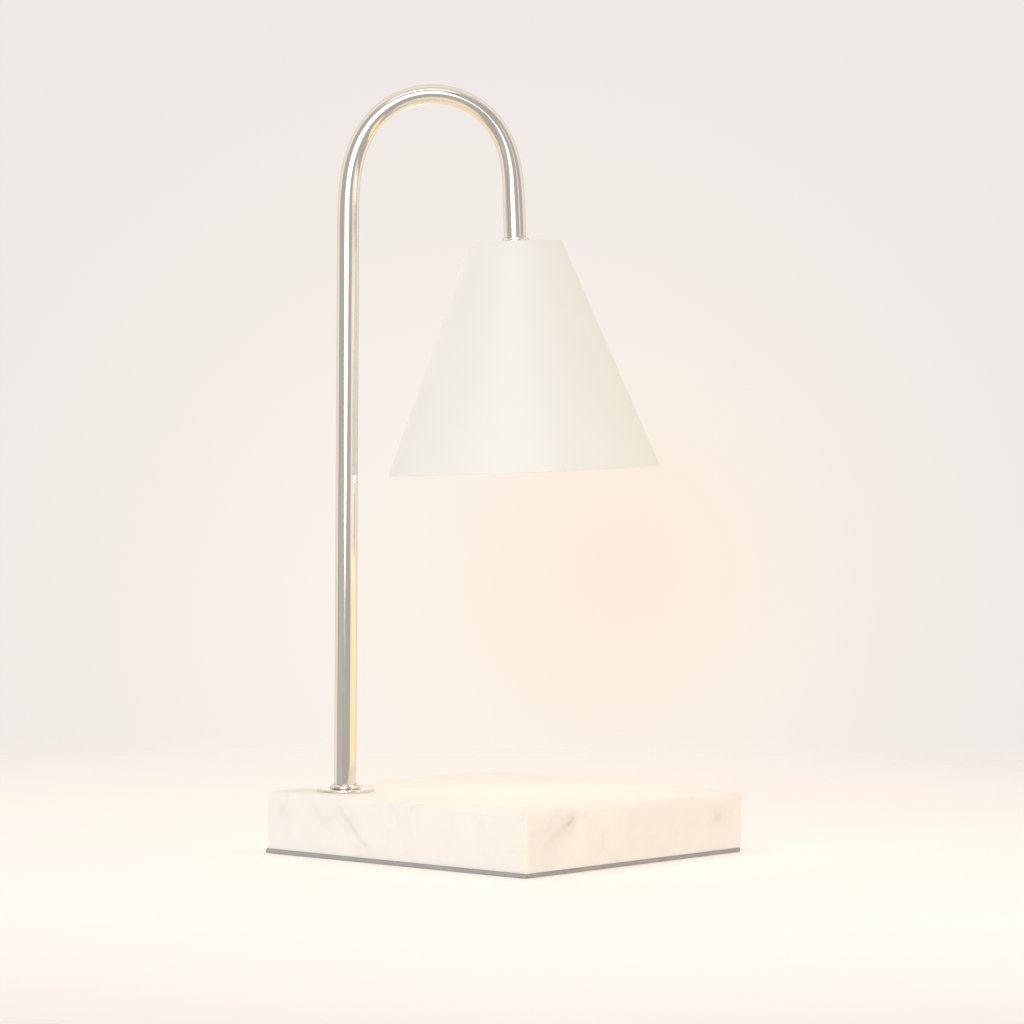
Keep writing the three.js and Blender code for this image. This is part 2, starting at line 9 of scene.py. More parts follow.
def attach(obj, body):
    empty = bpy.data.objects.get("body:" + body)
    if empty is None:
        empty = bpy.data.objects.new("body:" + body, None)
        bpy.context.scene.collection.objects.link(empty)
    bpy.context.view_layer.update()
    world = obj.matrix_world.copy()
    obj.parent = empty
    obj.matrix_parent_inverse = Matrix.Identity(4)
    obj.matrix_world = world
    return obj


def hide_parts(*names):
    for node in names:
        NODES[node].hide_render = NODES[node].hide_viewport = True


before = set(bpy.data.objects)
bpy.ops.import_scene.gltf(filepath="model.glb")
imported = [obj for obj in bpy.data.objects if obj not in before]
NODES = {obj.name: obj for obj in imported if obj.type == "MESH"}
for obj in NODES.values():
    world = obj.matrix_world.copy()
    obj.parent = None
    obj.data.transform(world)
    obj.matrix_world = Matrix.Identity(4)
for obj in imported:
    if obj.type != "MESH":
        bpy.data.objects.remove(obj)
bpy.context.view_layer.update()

# ------------------------------------------------------------------ dimensions, mm
MM = 0.001
TILT = math.radians(2.5)
POLE_X, BEND_START_Z = -71.6, 278.6
EASE_IN, EASE_OUT = 1.399, 0.8296  # the curvature rises and falls over these lengths, in bend radii
BEND_FLAT, BEND_SPREAD = 0.13, 0.06
TUBE_R, TUBE_BORE = 5.0, 4.0
FOOT_Z, END_DEPTH = 12.2, 13.5
HALF, SLAB_LOW, SLAB_TOP = 75.3, 1.9, 27.5
SHADE_TOP_R, SHADE_RIM_R, SHADE_H, SHADE_T = 20.65, 60.6, 101.7, 1.2
SHADE_TOP = Vector((2.823, 0, 271.9))
LEG_DIR = Vector((math.sin(TILT), 0, -math.cos(TILT)))
HEAD = Matrix.Translation(SHADE_TOP) @ Matrix.Rotation(-TILT, 4, "Y")
QUARTER = Matrix.Rotation(math.pi / 4, 4, "Z")  # the slab's own axes
POLE_A, POLE_B = POLE_X / math.sqrt(2), -POLE_X / math.sqrt(2)


def unit_bend(count):
    """The bend for a tightest radius of 1: x, z, heading and curvature at even steps of heading."""
    turn = math.pi - TILT
    length = EASE_IN + turn - (EASE_IN + EASE_OUT) / 2 + EASE_OUT
    fine = 12000
    step = length / fine
    out, x, z, h = [], 0.0, 0.0, 0.0
    for i in range(fine):
        at = i * step
        while len(out) < count and h >= len(out) / count * turn - 1e-9:
            out.append((x, z, h, max(0.0, min(at / EASE_IN, 1.0, (length - at) / EASE_OUT))))
        mid = at + 0.5 * step
        nh = h + min(mid / EASE_IN, 1.0, (length - mid) / EASE_OUT) * step
        x += math.sin((h + nh) / 2) * step
        z += math.cos((h + nh) / 2) * step
        h = nh
    out.append((x, z, turn, 0.0))
    return out


END_X, END_Z = unit_bend(1)[1][:2]
BEND_R = (SHADE_TOP.x - POLE_X - (BEND_START_Z - SHADE_TOP.z) * math.tan(TILT)) / (END_X + END_Z * math.tan(TILT))
LEG_START = Vector((POLE_X + BEND_R * END_X, 0, BEND_START_Z + BEND_R * END_Z))

# ------------------------------------------------------------------ camera
cam_data = bpy.data.cameras.new("camera")
cam_data.sensor_width = 36.0
cam_data.lens = 147.76
cam_data.clip_start, cam_data.clip_end = 0.05, 60
cam = bpy.data.objects.new("camera", cam_data)
bpy.context.scene.collection.objects.link(cam)
CAM_R = Vector((0.996487, -0.083517, 0.006218))
CAM_U = Vector((-0.004129, 0.025170, 0.999675))
CAM_F = Vector((0.083646, 0.996188, -0.024737))
CAM_P = Vector((-0.154527, -1.864481, 0.198123))
cam.matrix_world = Matrix((
    (CAM_R.x, CAM_U.x, -CAM_F.x, CAM_P.x),
    (CAM_R.y, CAM_U.y, -CAM_F.y, CAM_P.y),
    (CAM_R.z, CAM_U.z, -CAM_F.z, CAM_P.z),
    (0, 0, 0, 1)))
bpy.context.scene.camera = cam
bpy.context.scene.view_settings.view_transform = "Standard"


# ------------------------------------------------------------------ node helpers
class Mat:
    """A node material: one Principled shader, and short ways to add and link nodes."""

    def __init__(self, name, **values):
        self.m = bpy.data.materials.new(name)
        self.m.use_nodes = True
        self.nt = self.m.node_tree
        self.nt.nodes.clear()
        self.out = self.nt.nodes.new("ShaderNodeOutputMaterial")
        self.p = self.nt.nodes.new("ShaderNodeBsdfPrincipled")
        self.nt.links.new(self.p.outputs[0], self.out.inputs[0])
        self.coord = self.nt.nodes.new("ShaderNodeTexCoord").outputs["Object"]
        for k, v in values.items():
            self.set(k.replace("_", " "), v)

    def put(self, sock, v):
        if isinstance(v, bpy.types.NodeSocket):
            self.nt.links.new(v, sock)
        elif isinstance(v, (tuple, list)) and len(v) == 3 and sock.type == "RGBA":
            sock.default_value = (*v, 1.0)
        else:
            sock.default_value = v

    def set(self, name, v):
        self.put(self.p.inputs[name], v)

    def node(self, kind, out=0, props=None, **ins):
        n = self.nt.nodes.new(kind)
        for k, v in (props or {}).items():
            setattr(n, k, v)
        for k, v in ins.items():
            key = int(k[1:]) if k[0] == "i" and k[1:].isdigit() else k.replace("_", " ")
            self.put(n.inputs[key], v)
        return n.outputs[out]

    def math(self, op, a, b=0.0, clamp=False):
        return self.node("ShaderNodeMath", props={"operation": op, "use_clamp": clamp}, i0=a, i1=b)

    def vmath(self, op, a, b=(0, 0, 0), out=0, scale=None):
        n = self.nt.nodes.new("ShaderNodeVectorMath")
        n.operation = op
        self.put(n.inputs[0], a)
        self.put(n.inputs[1], b)
        if scale is not None:
            self.put(n.inputs["Scale"], scale)
        return n.outputs[out]

    def noise(self, scale, vector=None, detail=3.0, rough=0.55, out="Fac", dist=0.0):
        n = self.nt.nodes.new("ShaderNodeTexNoise")
        self.put(n.inputs["Vector"], self.coord if vector is None else vector)
        n.inputs["Scale"].default_value = scale
        n.inputs["Detail"].default_value = detail
        n.inputs["Roughness"].default_value = rough
        n.inputs["Distortion"].default_value = dist
        return n.outputs[out]

    def voronoi(self, scale, vector=None, feature="F1", out="Distance"):
        n = self.nt.nodes.new("ShaderNodeTexVoronoi")
        n.feature = feature
        self.put(n.inputs["Vector"], self.coord if vector is None else vector)
        n.inputs["Scale"].default_value = scale
        return n.outputs[out]

    def scaled(self, x, y, z, vector=None):
        return self.vmath("MULTIPLY", self.coord if vector is None else vector, (x, y, z))

    def remap(self, v, a, b, c, d, smooth=False):
        n = self.nt.nodes.new("ShaderNodeMapRange")
        n.interpolation_type = "SMOOTHSTEP" if smooth else "LINEAR"
        for i, x in enumerate((v, a, b, c, d)):
            self.put(n.inputs[i], x)
        return n.outputs[0]

    def mix(self, fac, a, b, blend="MIX"):
        n = self.nt.nodes.new("ShaderNodeMix")
        n.data_type = "RGBA"
        n.blend_type = blend
        n.clamp_factor = True
        self.put(n.inputs[0], fac)
        for i, v in ((6, a), (7, b)):
            self.put(n.inputs[i], v)
        return n.outputs[2]

    def bump(self, height, strength=0.3, distance=0.0002, normal=None):
        n = self.nt.nodes.new("ShaderNodeBump")
        n.inputs["Strength"].default_value = strength
        n.inputs["Distance"].default_value = distance
        self.put(n.inputs["Height"], height)
        if normal is not None:
            self.put(n.inputs["Normal"], normal)
        return n.outputs[0]


# ------------------------------------------------------------------ materials
def polished_metal():
    m = Mat("polished_nickel", Metallic=1.0)
    st = m.node("ShaderNodeAttribute", out="Vector", props={"attribute_name": "along"})
    lines = m.noise(1.0, m.vmath("MULTIPLY", st, (60, 2600, 2600)), 2.0, 0.5)
    haze = m.noise(38, None, 3.0, 0.6)
    tint = m.noise(11, None, 2.0, 0.5)
    m.set("Base Color", m.mix(tint, (0.80, 0.765, 0.715), (0.74, 0.705, 0.655)))
    r = m.math("ADD", m.remap(haze, 0.35, 0.7, 0.06, 0.11), m.remap(lines, 0.3, 0.8, 0.0, 0.05))
    m.set("Roughness", r)
    m.set("Normal", m.bump(lines, 0.06, 0.00005))
    return m.m


def turned_metal():
    """Nickelled turned parts: fine concentric lathe lines, which follow each piece's own axis."""
    m = Mat("turned_nickel", Metallic=1.0)
    st = m.node("ShaderNodeAttribute", out="Vector", props={"attribute_name": "along"})
    rings = m.noise(1.0, m.vmath("MULTIPLY", st, (5200, 40, 40)), 2.0, 0.5)
    haze = m.noise(90, None, 3.0, 0.6)
    m.set("Base Color", m.mix(haze, (0.83, 0.79, 0.735), (0.75, 0.71, 0.655)))
    m.set("Roughness", m.math("ADD", m.remap(haze, 0.3, 0.75, 0.07, 0.13), m.remap(rings, 0.3, 0.8, 0.0, 0.05)))
    m.set("Normal", m.bump(rings, 0.10, 0.00005))
    return m.m


def zinc_steel():
    m = Mat("zinc_steel", Metallic=1.0)
    grain = m.noise(420, None, 4.0, 0.65)
    cloud = m.noise(60, None, 3.0, 0.5)
    m.set("Base Color", m.mix(cloud, (0.60, 0.60, 0.585), (0.70, 0.675, 0.63)))
    m.set("Roughness", m.remap(grain, 0.3, 0.75, 0.28, 0.48))
    m.set("Normal", m.bump(grain, 0.18, 0.00006))
    return m.m


def enamel(name, base, warm, rough):
    """Powder coat: fine orange peel and slight unevenness in thickness."""
    m = Mat(name)
    peel = m.noise(1150, None, 2.0, 0.5)
    soft = m.noise(210, None, 2.0, 0.5)
    cloud = m.noise(16, None, 3.0, 0.5)
    speck = m.remap(m.voronoi(820), 0.0, 0.16, 1.0, 0.0, True)
    rare = m.remap(m.noise(70, None, 1.0, 0.5), 0.62, 0.72, 0.0, 0.35)
    col = m.mix(m.remap(cloud, 0.3, 0.75, 0.0, 1.0), base, warm)
    col = m.mix(m.math("MULTIPLY", speck, rare), col, tuple(c * 0.90 for c in base))
    m.set("Base Color", col)
    m.set("Roughness", m.remap(peel, 0.3, 0.7, rough - 0.05, rough + 0.07))
    m.p.inputs["Specular IOR Level"].default_value = 0.42
    n = m.bump(peel, 0.16, 0.00012)
    m.set("Normal", m.bump(soft, 0.10, 0.00035, n))
    return m.m


def ceramic(name="white_ceramic", base=(0.84, 0.82, 0.77)):
    m = Mat(name)
    grain = m.noise(900, None, 4.0, 0.6)
    cloud = m.noise(90, None, 3.0, 0.5)
    pits = m.remap(m.voronoi(520), 0.0, 0.10, 0.0, 1.0, True)
    m.set("Base Color", m.mix(m.remap(cloud, 0.35, 0.75, 0.0, 1.0), base, tuple(c * f for c, f in zip(base, (0.97, 0.94, 0.88)))))
    m.set("Roughness", m.remap(grain, 0.3, 0.7, 0.42, 0.62))
    m.set("Normal", m.bump(pits, 0.25, 0.0001, m.bump(grain, 0.15, 0.0001)))
    return m.m


def plain_polymer(name, base, rough=0.5, grain_scale=1400):
    m = Mat(name)
    grain = m.noise(grain_scale, None, 3.0, 0.6)
    cloud = m.noise(55, None, 2.0, 0.5)
    m.set("Base Color", m.mix(m.remap(cloud, 0.3, 0.75, 0.0, 1.0), base, tuple(c * 0.86 for c in base)))
    m.set("Roughness", m.remap(grain, 0.3, 0.7, rough - 0.06, rough + 0.10))
    m.set("Normal", m.bump(grain, 0.2, 0.0001))
    return m.m


def foam():
    """Closed-cell foam sheet: small cells with darker walls."""
    m = Mat("grey_foam")
    cells = m.voronoi(1500)
    walls = m.remap(cells, 0.05, 0.5, 0.0, 1.0)
    cloud = m.noise(70, None, 3.0, 0.6)
    col = m.mix(m.remap(cloud, 0.3, 0.75, 0.0, 1.0), (0.352, 0.356, 0.356), (0.402, 0.404, 0.400))
    col = m.mix(m.math("MULTIPLY", m.math("SUBTRACT", 1.0, walls), 0.40), col, (0.25, 0.25, 0.248))
    m.set("Base Color", col)
    m.set("Roughness", m.remap(walls, 0.0, 1.0, 0.95, 0.8))
    m.p.inputs["Specular IOR Level"].default_value = 0.25
    m.set("Normal", m.bump(walls, 0.55, 0.00025))
    return m.m


def stone():
    """Honed pale stone: milky clouds, hairline grey veins and a few stronger ones."""
    m = Mat("pale_stone")
    p = m.coord
    warp = m.vmath("SCALE", m.vmath("SUBTRACT", m.noise(26, p, 4.0, 0.6, "Color"), (0.5, 0.5, 0.5)), scale=0.030)
    q = m.vmath("ADD", p, warp)
    fine = m.vmath("SCALE", m.vmath("SUBTRACT", m.noise(110, p, 3.0, 0.55, "Color"), (0.5, 0.5, 0.5)), scale=0.0034)
    cloud = m.noise(20, q, 5.0, 0.6)
    cloud2 = m.noise(58, q, 4.0, 0.6)
    col = m.mix(m.remap(cloud, 0.34, 0.68, 0.0, 1.0), (0.875, 0.852, 0.820), (0.830, 0.808, 0.776))
    col = m.mix(m.remap(cloud2, 0.52, 0.80, 0.0, 0.30), col, (0.76, 0.745, 0.72))
    # painted warm light: the face towards the viewer's right is tinted warmer, standing in for warm light falling on
    # that side
    side = m.vmath("DOT_PRODUCT", q, (math.sqrt(0.5), -math.sqrt(0.5), 0.0), out="Value")
    col = m.mix(m.remap(side, 0.030, 0.078, 0.0, 1.0, True), col, (1.0, 0.998, 0.978), "MULTIPLY")
    # hairline veins: the zero crossings of two slow noises, broken up by a third
    breakup = m.remap(m.noise(30, p, 3.0, 0.6), 0.46, 0.66, 0.0, 1.0, True)
    for scale, width, shade, seed in ((13, 0.016, (0.50, 0.485, 0.47), 3.1), (24, 0.020, (0.60, 0.585, 0.56), 7.7)):
        v = m.noise(scale, m.vmath("ADD", q, (seed, seed * 0.7, -seed)), 2.5, 0.5)
        line = m.math("ABSOLUTE", m.math("SUBTRACT", v, 0.5))
        core = m.remap(line, 0.0, width, 1.0, 0.0, True)
        halo = m.remap(line, 0.0, width * 5, 0.30, 0.0, True)
        mask = m.math("MULTIPLY", m.math("MAXIMUM", core, halo), m.math("MULTIPLY", breakup, 0.10))
        col = m.mix(mask, col, shade)
    # stronger veins at places of their own, each a short segment with a soft halo (mm)
    pq = m.vmath("ADD", p, fine)
    for a, b, width, depth, shade in VEINS:
        a, b = Vector(a) * MM, Vector(b) * MM
        ab = b - a
        pa = m.vmath("SUBTRACT", pq, tuple(a))
        t = m.math("MULTIPLY", m.vmath("DOT_PRODUCT", pa, tuple(ab), out="Value"), 1.0 / ab.length_squared, True)
        on = m.vmath("SCALE", tuple(ab), scale=t)
        d = m.vmath("LENGTH", m.vmath("SUBTRACT", pa, on), out="Value")
        core = m.remap(d, width * MM * 0.1, width * MM * 1.3, 1.0, 0.0, True)
        halo = m.remap(d, width * MM * 0.5, width * MM * 4.0, 0.32, 0.0, True)
        ragged = m.remap(m.noise(260, p, 2.0, 0.5), 0.30, 0.62, 0.55, 1.0)
        mask = m.math("MULTIPLY", m.math("MAXIMUM", core, halo), m.math("MULTIPLY", ragged, depth))
        col = m.mix(mask, col, shade)
    m.set("Base Color", col)
    grain = m.noise(650, p, 4.0, 0.6)
    m.set("Roughness", m.remap(m.math("ADD", grain, cloud2), 0.7, 1.4, 0.42, 0.58))
    m.p.inputs["Specular IOR Level"].default_value = 0.38
    m.p.inputs["Subsurface Weight"].default_value = 0.25
    m.p.inputs["Subsurface Radius"].default_value = (1.0, 0.8, 0.6)
    m.p.inputs["Subsurface Scale"].default_value = 0.004
    pits = m.remap(m.voronoi(240, pq), 0.0, 0.06, 0.0, 1.0, True)
    m.set("Normal", m.bump(pits, 0.12, 0.0002, m.bump(grain, 0.05, 0.00012)))
    return m.m


GREY_V, BROWN_V, FAINT_V = (0.50, 0.485, 0.45), (0.44, 0.385, 0.31), (0.60, 0.585, 0.55)
VEINS = [
    # on the side that faces left of the viewer
    ((-86.4, -20.1, 24.5), (-82.3, -24.2, 15.8), 2.6, 0.17, FAINT_V),
    ((-82.3, -24.2, 15.8), (-77.0, -29.5, 20.5), 2.8, 0.10, FAINT_V),
    ((-75.2, -31.3, 22.8), (-70.8, -35.7, 16.0), 1.8, 0.32, GREY_V),
    ((-70.8, -35.7, 16.0), (-64.4, -42.1, 7.6), 1.7, 0.24, GREY_V),
    ((-64.4, -42.1, 7.6), (-62.0, -44.5, 3.0), 2.0, 0.11, FAINT_V),
    ((-54.3, -52.2, 15.0), (-56.2, -50.3, 6.0), 2.2, 0.12, FAINT_V),
    ((-30.0, -76.5, 17.5), (-28.4, -78.1, 15.0), 2.6, 0.10, FAINT_V),
    ((-16.4, -90.1, 9.0), (-13.6, -92.9, 6.0), 3.0, 0.10, FAINT_V),
    # on the side that faces right of the viewer
    ((21.9, -84.6, 23.0), (19.3, -87.2, 21.4), 1.6, 0.46, BROWN_V),
    ((19.3, -87.2, 21.4), (17.4, -89.1, 19.4), 1.8, 0.16, BROWN_V),
    ((17.4, -89.1, 20.6), (8.4, -98.1, 12.5), 2.8, 0.11, BROWN_V),
    ((36.6, -69.9, 14.0), (35.2, -71.3, 7.5), 1.4, 0.16, FAINT_V),
    ((93.9, -12.6, 16.7), (92.9, -13.6, 16.0), 3.4, 0.28, BROWN_V),
    ((93.0, -13.5, 16.2), (80.0, -26.5, 11.0), 2.2, 0.05, BROWN_V),
    ((101.0, -5.5, 19.2), (100.4, -6.1, 18.4), 2.2, 0.10, FAINT_V),
    # on the top and the hidden sides
    ((-30.0, 30.0, 27.5), (20.0, 52.0, 27.5), 1.2, 0.40, GREY_V),
    ((20.0, 52.0, 27.5), (34.0, 72.0, 16.0), 0.9, 0.40, GREY_V),
    ((40.0, -20.0, 27.5), (72.0, 8.0, 27.5), 1.0, 0.32, FAINT_V),
    ((-40.0, 66.0, 22.0), (-62.0, 44.0, 9.0), 1.1, 0.50, GREY_V),
    ((60.0, 46.0, 24.0), (74.0, 32.0, 10.0), 1.3, 0.45, GREY_V),
    ((-6.0, -52.0, 27.5), (-34.0, -20.0, 27.5), 0.8, 0.30, FAINT_V),
]


def reflector_inner():
    m = Mat("aluminised", Metallic=1.0)
    g = m.noise(240, None, 3.0, 0.6)
    m.set("Base Color", m.mix(g, (0.93, 0.90, 0.85), (0.86, 0.82, 0.76)))
    m.set("Roughness", m.remap(g, 0.3, 0.7, 0.05, 0.10))
    m.set("Normal", m.bump(g, 0.02, 0.0001))
    return m.m


def reflector_outer():
    m = Mat("reflector_back")
    g = m.noise(500, None, 3.0, 0.6)
    cloud = m.noise(60, None, 2.0, 0.5)
    m.set("Base Color", m.mix(cloud, (0.72, 0.70, 0.67), (0.62, 0.60, 0.57)))
    m.p.inputs["Metallic"].default_value = 0.75
    m.set("Roughness", m.remap(g, 0.3, 0.7, 0.34, 0.42))
    m.set("Normal", m.bump(g, 0.015, 0.0001))
    return m.m


def lamp_glass():
    m = Mat("lamp_glass")
    wave = m.noise(120, None, 2.0, 0.5)
    m.set("Base Color", m.mix(wave, (1.0, 0.985, 0.955), (0.97, 0.95, 0.91)))
    m.p.inputs["Transmission Weight"].default_value = 0.92
    m.p.inputs["IOR"].default_value = 1.46
    m.set("Roughness", m.remap(wave, 0.3, 0.7, 0.05, 0.12))
    m.set("Normal", m.bump(wave, 0.12, 0.0003))
    return m.m


def glowing(name, colour, strength, base=(0.95, 0.9, 0.8)):
    m = Mat(name)
    g = m.noise(600, None, 2.0, 0.5)
    m.set("Base Color", m.mix(g, base, tuple(c * 0.92 for c in base)))
    m.set("Roughness", m.remap(g, 0.3, 0.7, 0.3, 0.5))
    m.p.inputs["Emission Color"].default_value = (*colour, 1)
    m.p.inputs["Emission Strength"].default_value = strength
    return m.m


NICKEL = polished_metal()
TURNED = turned_metal()
ZINC = zinc_steel()
COAT = enamel("shade_coat", (0.850, 0.857, 0.826), (0.828, 0.832, 0.796), 0.46)
COAT_IN = enamel("shade_coat_inside", (0.87, 0.84, 0.78), (0.84, 0.80, 0.73), 0.52)
CERAMIC = ceramic()
FOAM = foam()
STONE = stone()
RUBBER = plain_polymer("grommet_rubber", (0.70, 0.68, 0.63), 0.62)
SHEATH = plain_polymer("lead_sheath", (0.78, 0.76, 0.70), 0.45)
BROWN = plain_polymer("wire_brown", (0.20, 0.10, 0.055), 0.45)
BLUE = plain_polymer("wire_blue", (0.05, 0.13, 0.38), 0.45)
BRASS = ceramic("contact_brass", (0.72, 0.55, 0.27))
BRASS.node_tree.nodes["Principled BSDF"].inputs["Metallic"].default_value = 1.0
MIRROR_IN, MIRROR_OUT, GLASS = reflector_inner(), reflector_outer(), lamp_glass()
CAPSULE = glowing("lit_capsule", (1.0, 0.80, 0.52), 4.5)


# ------------------------------------------------------------------ geometry helpers
def fillet(pts, radii, seg=4, closed=True):
    """A polyline with its corners rounded. radii: one number, or {index: r} with the rest sharp."""
    out = []
    n = len(pts)
    for i, p in enumerate(pts):
        r = radii.get(i, 0) if isinstance(radii, dict) else radii
        if r <= 0 or (not closed and i in (0, n - 1)):
            out.append(tuple(p))
            continue
        a, b, c = Vector(pts[i - 1]), Vector(p), Vector(pts[(i + 1) % n])
        u, v = (a - b).normalized(), (c - b).normalized()
        ang = math.acos(max(-1, min(1, u.dot(v))))
        if ang > math.pi - 1e-3 or ang < 1e-3:
            out.append(tuple(p))
            continue
        d = min(r / math.tan(ang / 2), (a - b).length * 0.49, (c - b).length * 0.49)
        r = d * math.tan(ang / 2)
        centre = b + (u + v).normalized() * (r / math.sin(ang / 2))
        s, e = b + u * d - centre, b + v * d - centre
        sweep = math.pi - ang
        for k in range(seg + 1):
            f = k / seg
            w = (s * math.sin((1 - f) * sweep) + e * math.sin(f * sweep)) / math.sin(sweep)
            out.append(tuple(centre + w))
    return out


def build(name, verts, faces, material, body, replaces=(), sharp=32.0, along=None, mats=None, face_mats=None):
    me = bpy.data.meshes.new(name)
    me.from_pydata([tuple(v) for v in verts], [], faces)
    me.validate(clean_customdata=False)
    for mt in ([material] if mats is None else mats):
        me.materials.append(mt)
    if face_mats is not None:
        me.polygons.foreach_set("material_index", face_mats)
    if along is not None:
        at = me.attributes.new("along", "FLOAT_VECTOR", "POINT")
        at.data.foreach_set("vector", np.array(along, np.float32).ravel())
    bm = bmesh.new()
    bm.from_mesh(me)
    bmesh.ops.recalc_face_normals(bm, faces=bm.faces)
    bm.to_mesh(me)
    bm.free()
    me.shade_smooth()
    me.set_sharp_from_angle(angle=math.radians(sharp))
    me.update()
    ob = bpy.data.objects.new(name, me)
    bpy.context.scene.collection.objects.link(ob)
    if body:
        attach(ob, body)
    if replaces:
        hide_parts(*replaces)
    return ob


def lathe(name, loop, n, material, body, replaces=(), at=Matrix.Identity(4), closed=True, sharp=32.0,
          wobble=0.0, mats=None, pick=None):
    """Turned piece from (r, z) in mm. closed: the loop closes on itself; else it runs from axis to axis."""
    verts, faces, along, fm = [], [], [], []
    length = 0.0
    rings = []
    prev = None
    for r, z in loop:
        if prev is not None:
            length += math.hypot(r - prev[0], z - prev[1])
        prev = (r, z)
        if r < 1e-6:
            rings.append([len(verts)])
            verts.append(at @ Vector((0, 0, z)) * MM)
            along.append((length * MM, 0, 0))
            continue
        ring = []
        for k in range(n):
            t = 2 * math.pi * k / n
            rr = r
            if wobble:
                rr += wobble * noise.noise(Vector((math.cos(t) * 1.3, math.sin(t) * 1.3, z * 0.02)))
            ring.append(len(verts))
            verts.append(at @ Vector((rr * math.cos(t), rr * math.sin(t), z)) * MM)
            along.append((length * MM, r * MM * math.cos(t), r * MM * math.sin(t)))
        rings.append(ring)
    m = len(rings)
    for i in range(m if closed else m - 1):
        a, b = rings[i], rings[(i + 1) % m]
        idx = pick(i) if pick else 0
        if len(a) == 1 and len(b) == 1:
            continue
        for k in range(n):
            k2 = (k + 1) % n
            if len(a) == 1:
                faces.append((a[0], b[k], b[k2]))
            elif len(b) == 1:
                faces.append((a[k], b[0], a[k2]))
            else:
                faces.append((a[k], b[k], b[k2], a[k2]))
            fm.append(idx)
    return build(name, verts, faces, material, body, replaces, sharp, along, mats, fm if pick else None)


def sweep(name, stations, n, material, body, slot=None, replaces=(), bore=None, sharp=32.0, radius=None):
    """Tube through stations (point mm, tangent, outer radius, flattening). bore: inner radius, or None."""
    t0 = stations[0][1].normalized()
    ref = Vector((0, 1, 0)) if abs(t0.y) < 0.9 else Vector((1, 0, 0))
    u = (ref - t0 * ref.dot(t0)).normalized()
    verts, faces, along = [], [], []
    outer, inner = [], []
    length, prev = 0.0, None
    for p, t, r, flat in stations:
        t = t.normalized()
        fu, fv = 1 + BEND_SPREAD * flat, 1 - BEND_FLAT * flat
        u = (u - t * u.dot(t)).normalized()
        v = t.cross(u)
        if prev is not None:
            length += (p - prev).length
        prev = p
        for store, rr in ((outer, r), (inner, bore)):
            if rr is None:
                continue
            ring = []
            for k in range(n):
                a = 2 * math.pi * k / n
                ring.append(len(verts))
                verts.append((p + u * (rr * fu * math.cos(a)) + v * (rr * fv * math.sin(a))) * MM)
                along.append((length * MM, rr * MM * math.cos(a), rr * MM * math.sin(a)))
            store.append(ring)
    for rings in (outer, inner):
        for i in range(len(rings) - 1):
            a, b = rings[i], rings[i + 1]
            for k in range(n):
                k2 = (k + 1) % n
                faces.append((a[k], a[k2], b[k2], b[k]))
    for i in (0, -1):
        if bore is None:
            faces.append(tuple(outer[i]))
        else:
            for k in range(n):
                k2 = (k + 1) % n
                faces.append((outer[i][k], outer[i][k2], inner[i][k2], inner[i][k]))
    return build(name, verts, faces, material, body, replaces, sharp, along)


def carve(ob, cutters):
    """Cuts closed shapes out of ob, then drops them."""
    for c in cutters:
        mod = ob.modifiers.new("cut", "BOOLEAN")
        mod.operation = "DIFFERENCE"
        mod.solver = "EXACT"
        mod.object = c
    dg = bpy.context.evaluated_depsgraph_get()
    me = bpy.data.meshes.new_from_object(ob.evaluated_get(dg))
    ob.modifiers.clear()
    ob.data = me
    me.set_sharp_from_angle(angle=math.radians(32))
    for c in cutters:
        bpy.data.objects.remove(c)
    return ob


def tool_rod(r, z0, z1, n=64, at=Matrix.Identity(4)):
    verts = [at @ Vector((r * math.cos(2 * math.pi * k / n), r * math.sin(2 * math.pi * k / n), z)) * MM
             for z in (z0, z1) for k in range(n)]
    faces = [(k, (k + 1) % n, n + (k + 1) % n, n + k) for k in range(n)]
    faces += [tuple(range(n)), tuple(range(n, 2 * n))]
    return build("tool", verts, faces, STONE, None)


def tool_box(lo, hi, at=Matrix.Identity(4)):
    c = [(x, y, z) for z in (lo[2], hi[2]) for y in (lo[1], hi[1]) for x in (lo[0], hi[0])]
    verts = [at @ Vector(p) * MM for p in c]
    return build("tool", verts, [(0, 1, 3, 2), (4, 5, 7, 6), (0, 1, 5, 4), (2, 3, 7, 6), (0, 2, 6, 4), (1, 3, 7, 5)], STONE, None)


def rounded_ring(half_x, half_y, rc, z, corner=6, side=40):
    """Points of a rounded square."""
    pts = []
    for q in range(4):
        a0 = q * math.pi / 2
        sx, sy = (1, 1, -1, -1)[q], (-1, 1, 1, -1)[q]
        # corner q sits at the end of side q; sides run anticlockwise
        cx, cy = ((half_x - rc), (half_x - rc), -(half_x - rc), -(half_x - rc))[q], (-(half_y - rc), (half_y - rc), (half_y - rc), -(half_y - rc))[q]
        base = -math.pi / 2 + a0
        for k in range(corner + 1):
            t = base + (math.pi / 2) * k / corner
            pts.append((cx + rc * math.cos(t), cy + rc * math.sin(t), z))
        nx, ny = ((half_x - rc), -(half_x - rc), -(half_x - rc), (half_x - rc))[q], ((half_y - rc), (half_y - rc), -(half_y - rc), -(half_y - rc))[q]
        t = base + math.pi / 2
        x0, y0 = cx + rc * math.cos(t), cy + rc * math.sin(t)
        x1, y1 = nx + rc * math.cos(t), ny + rc * math.sin(t)
        for k in range(1, side):
            f = k / side
            pts.append((x0 + (x1 - x0) * f, y0 + (y1 - y0) * f, z))
    return pts


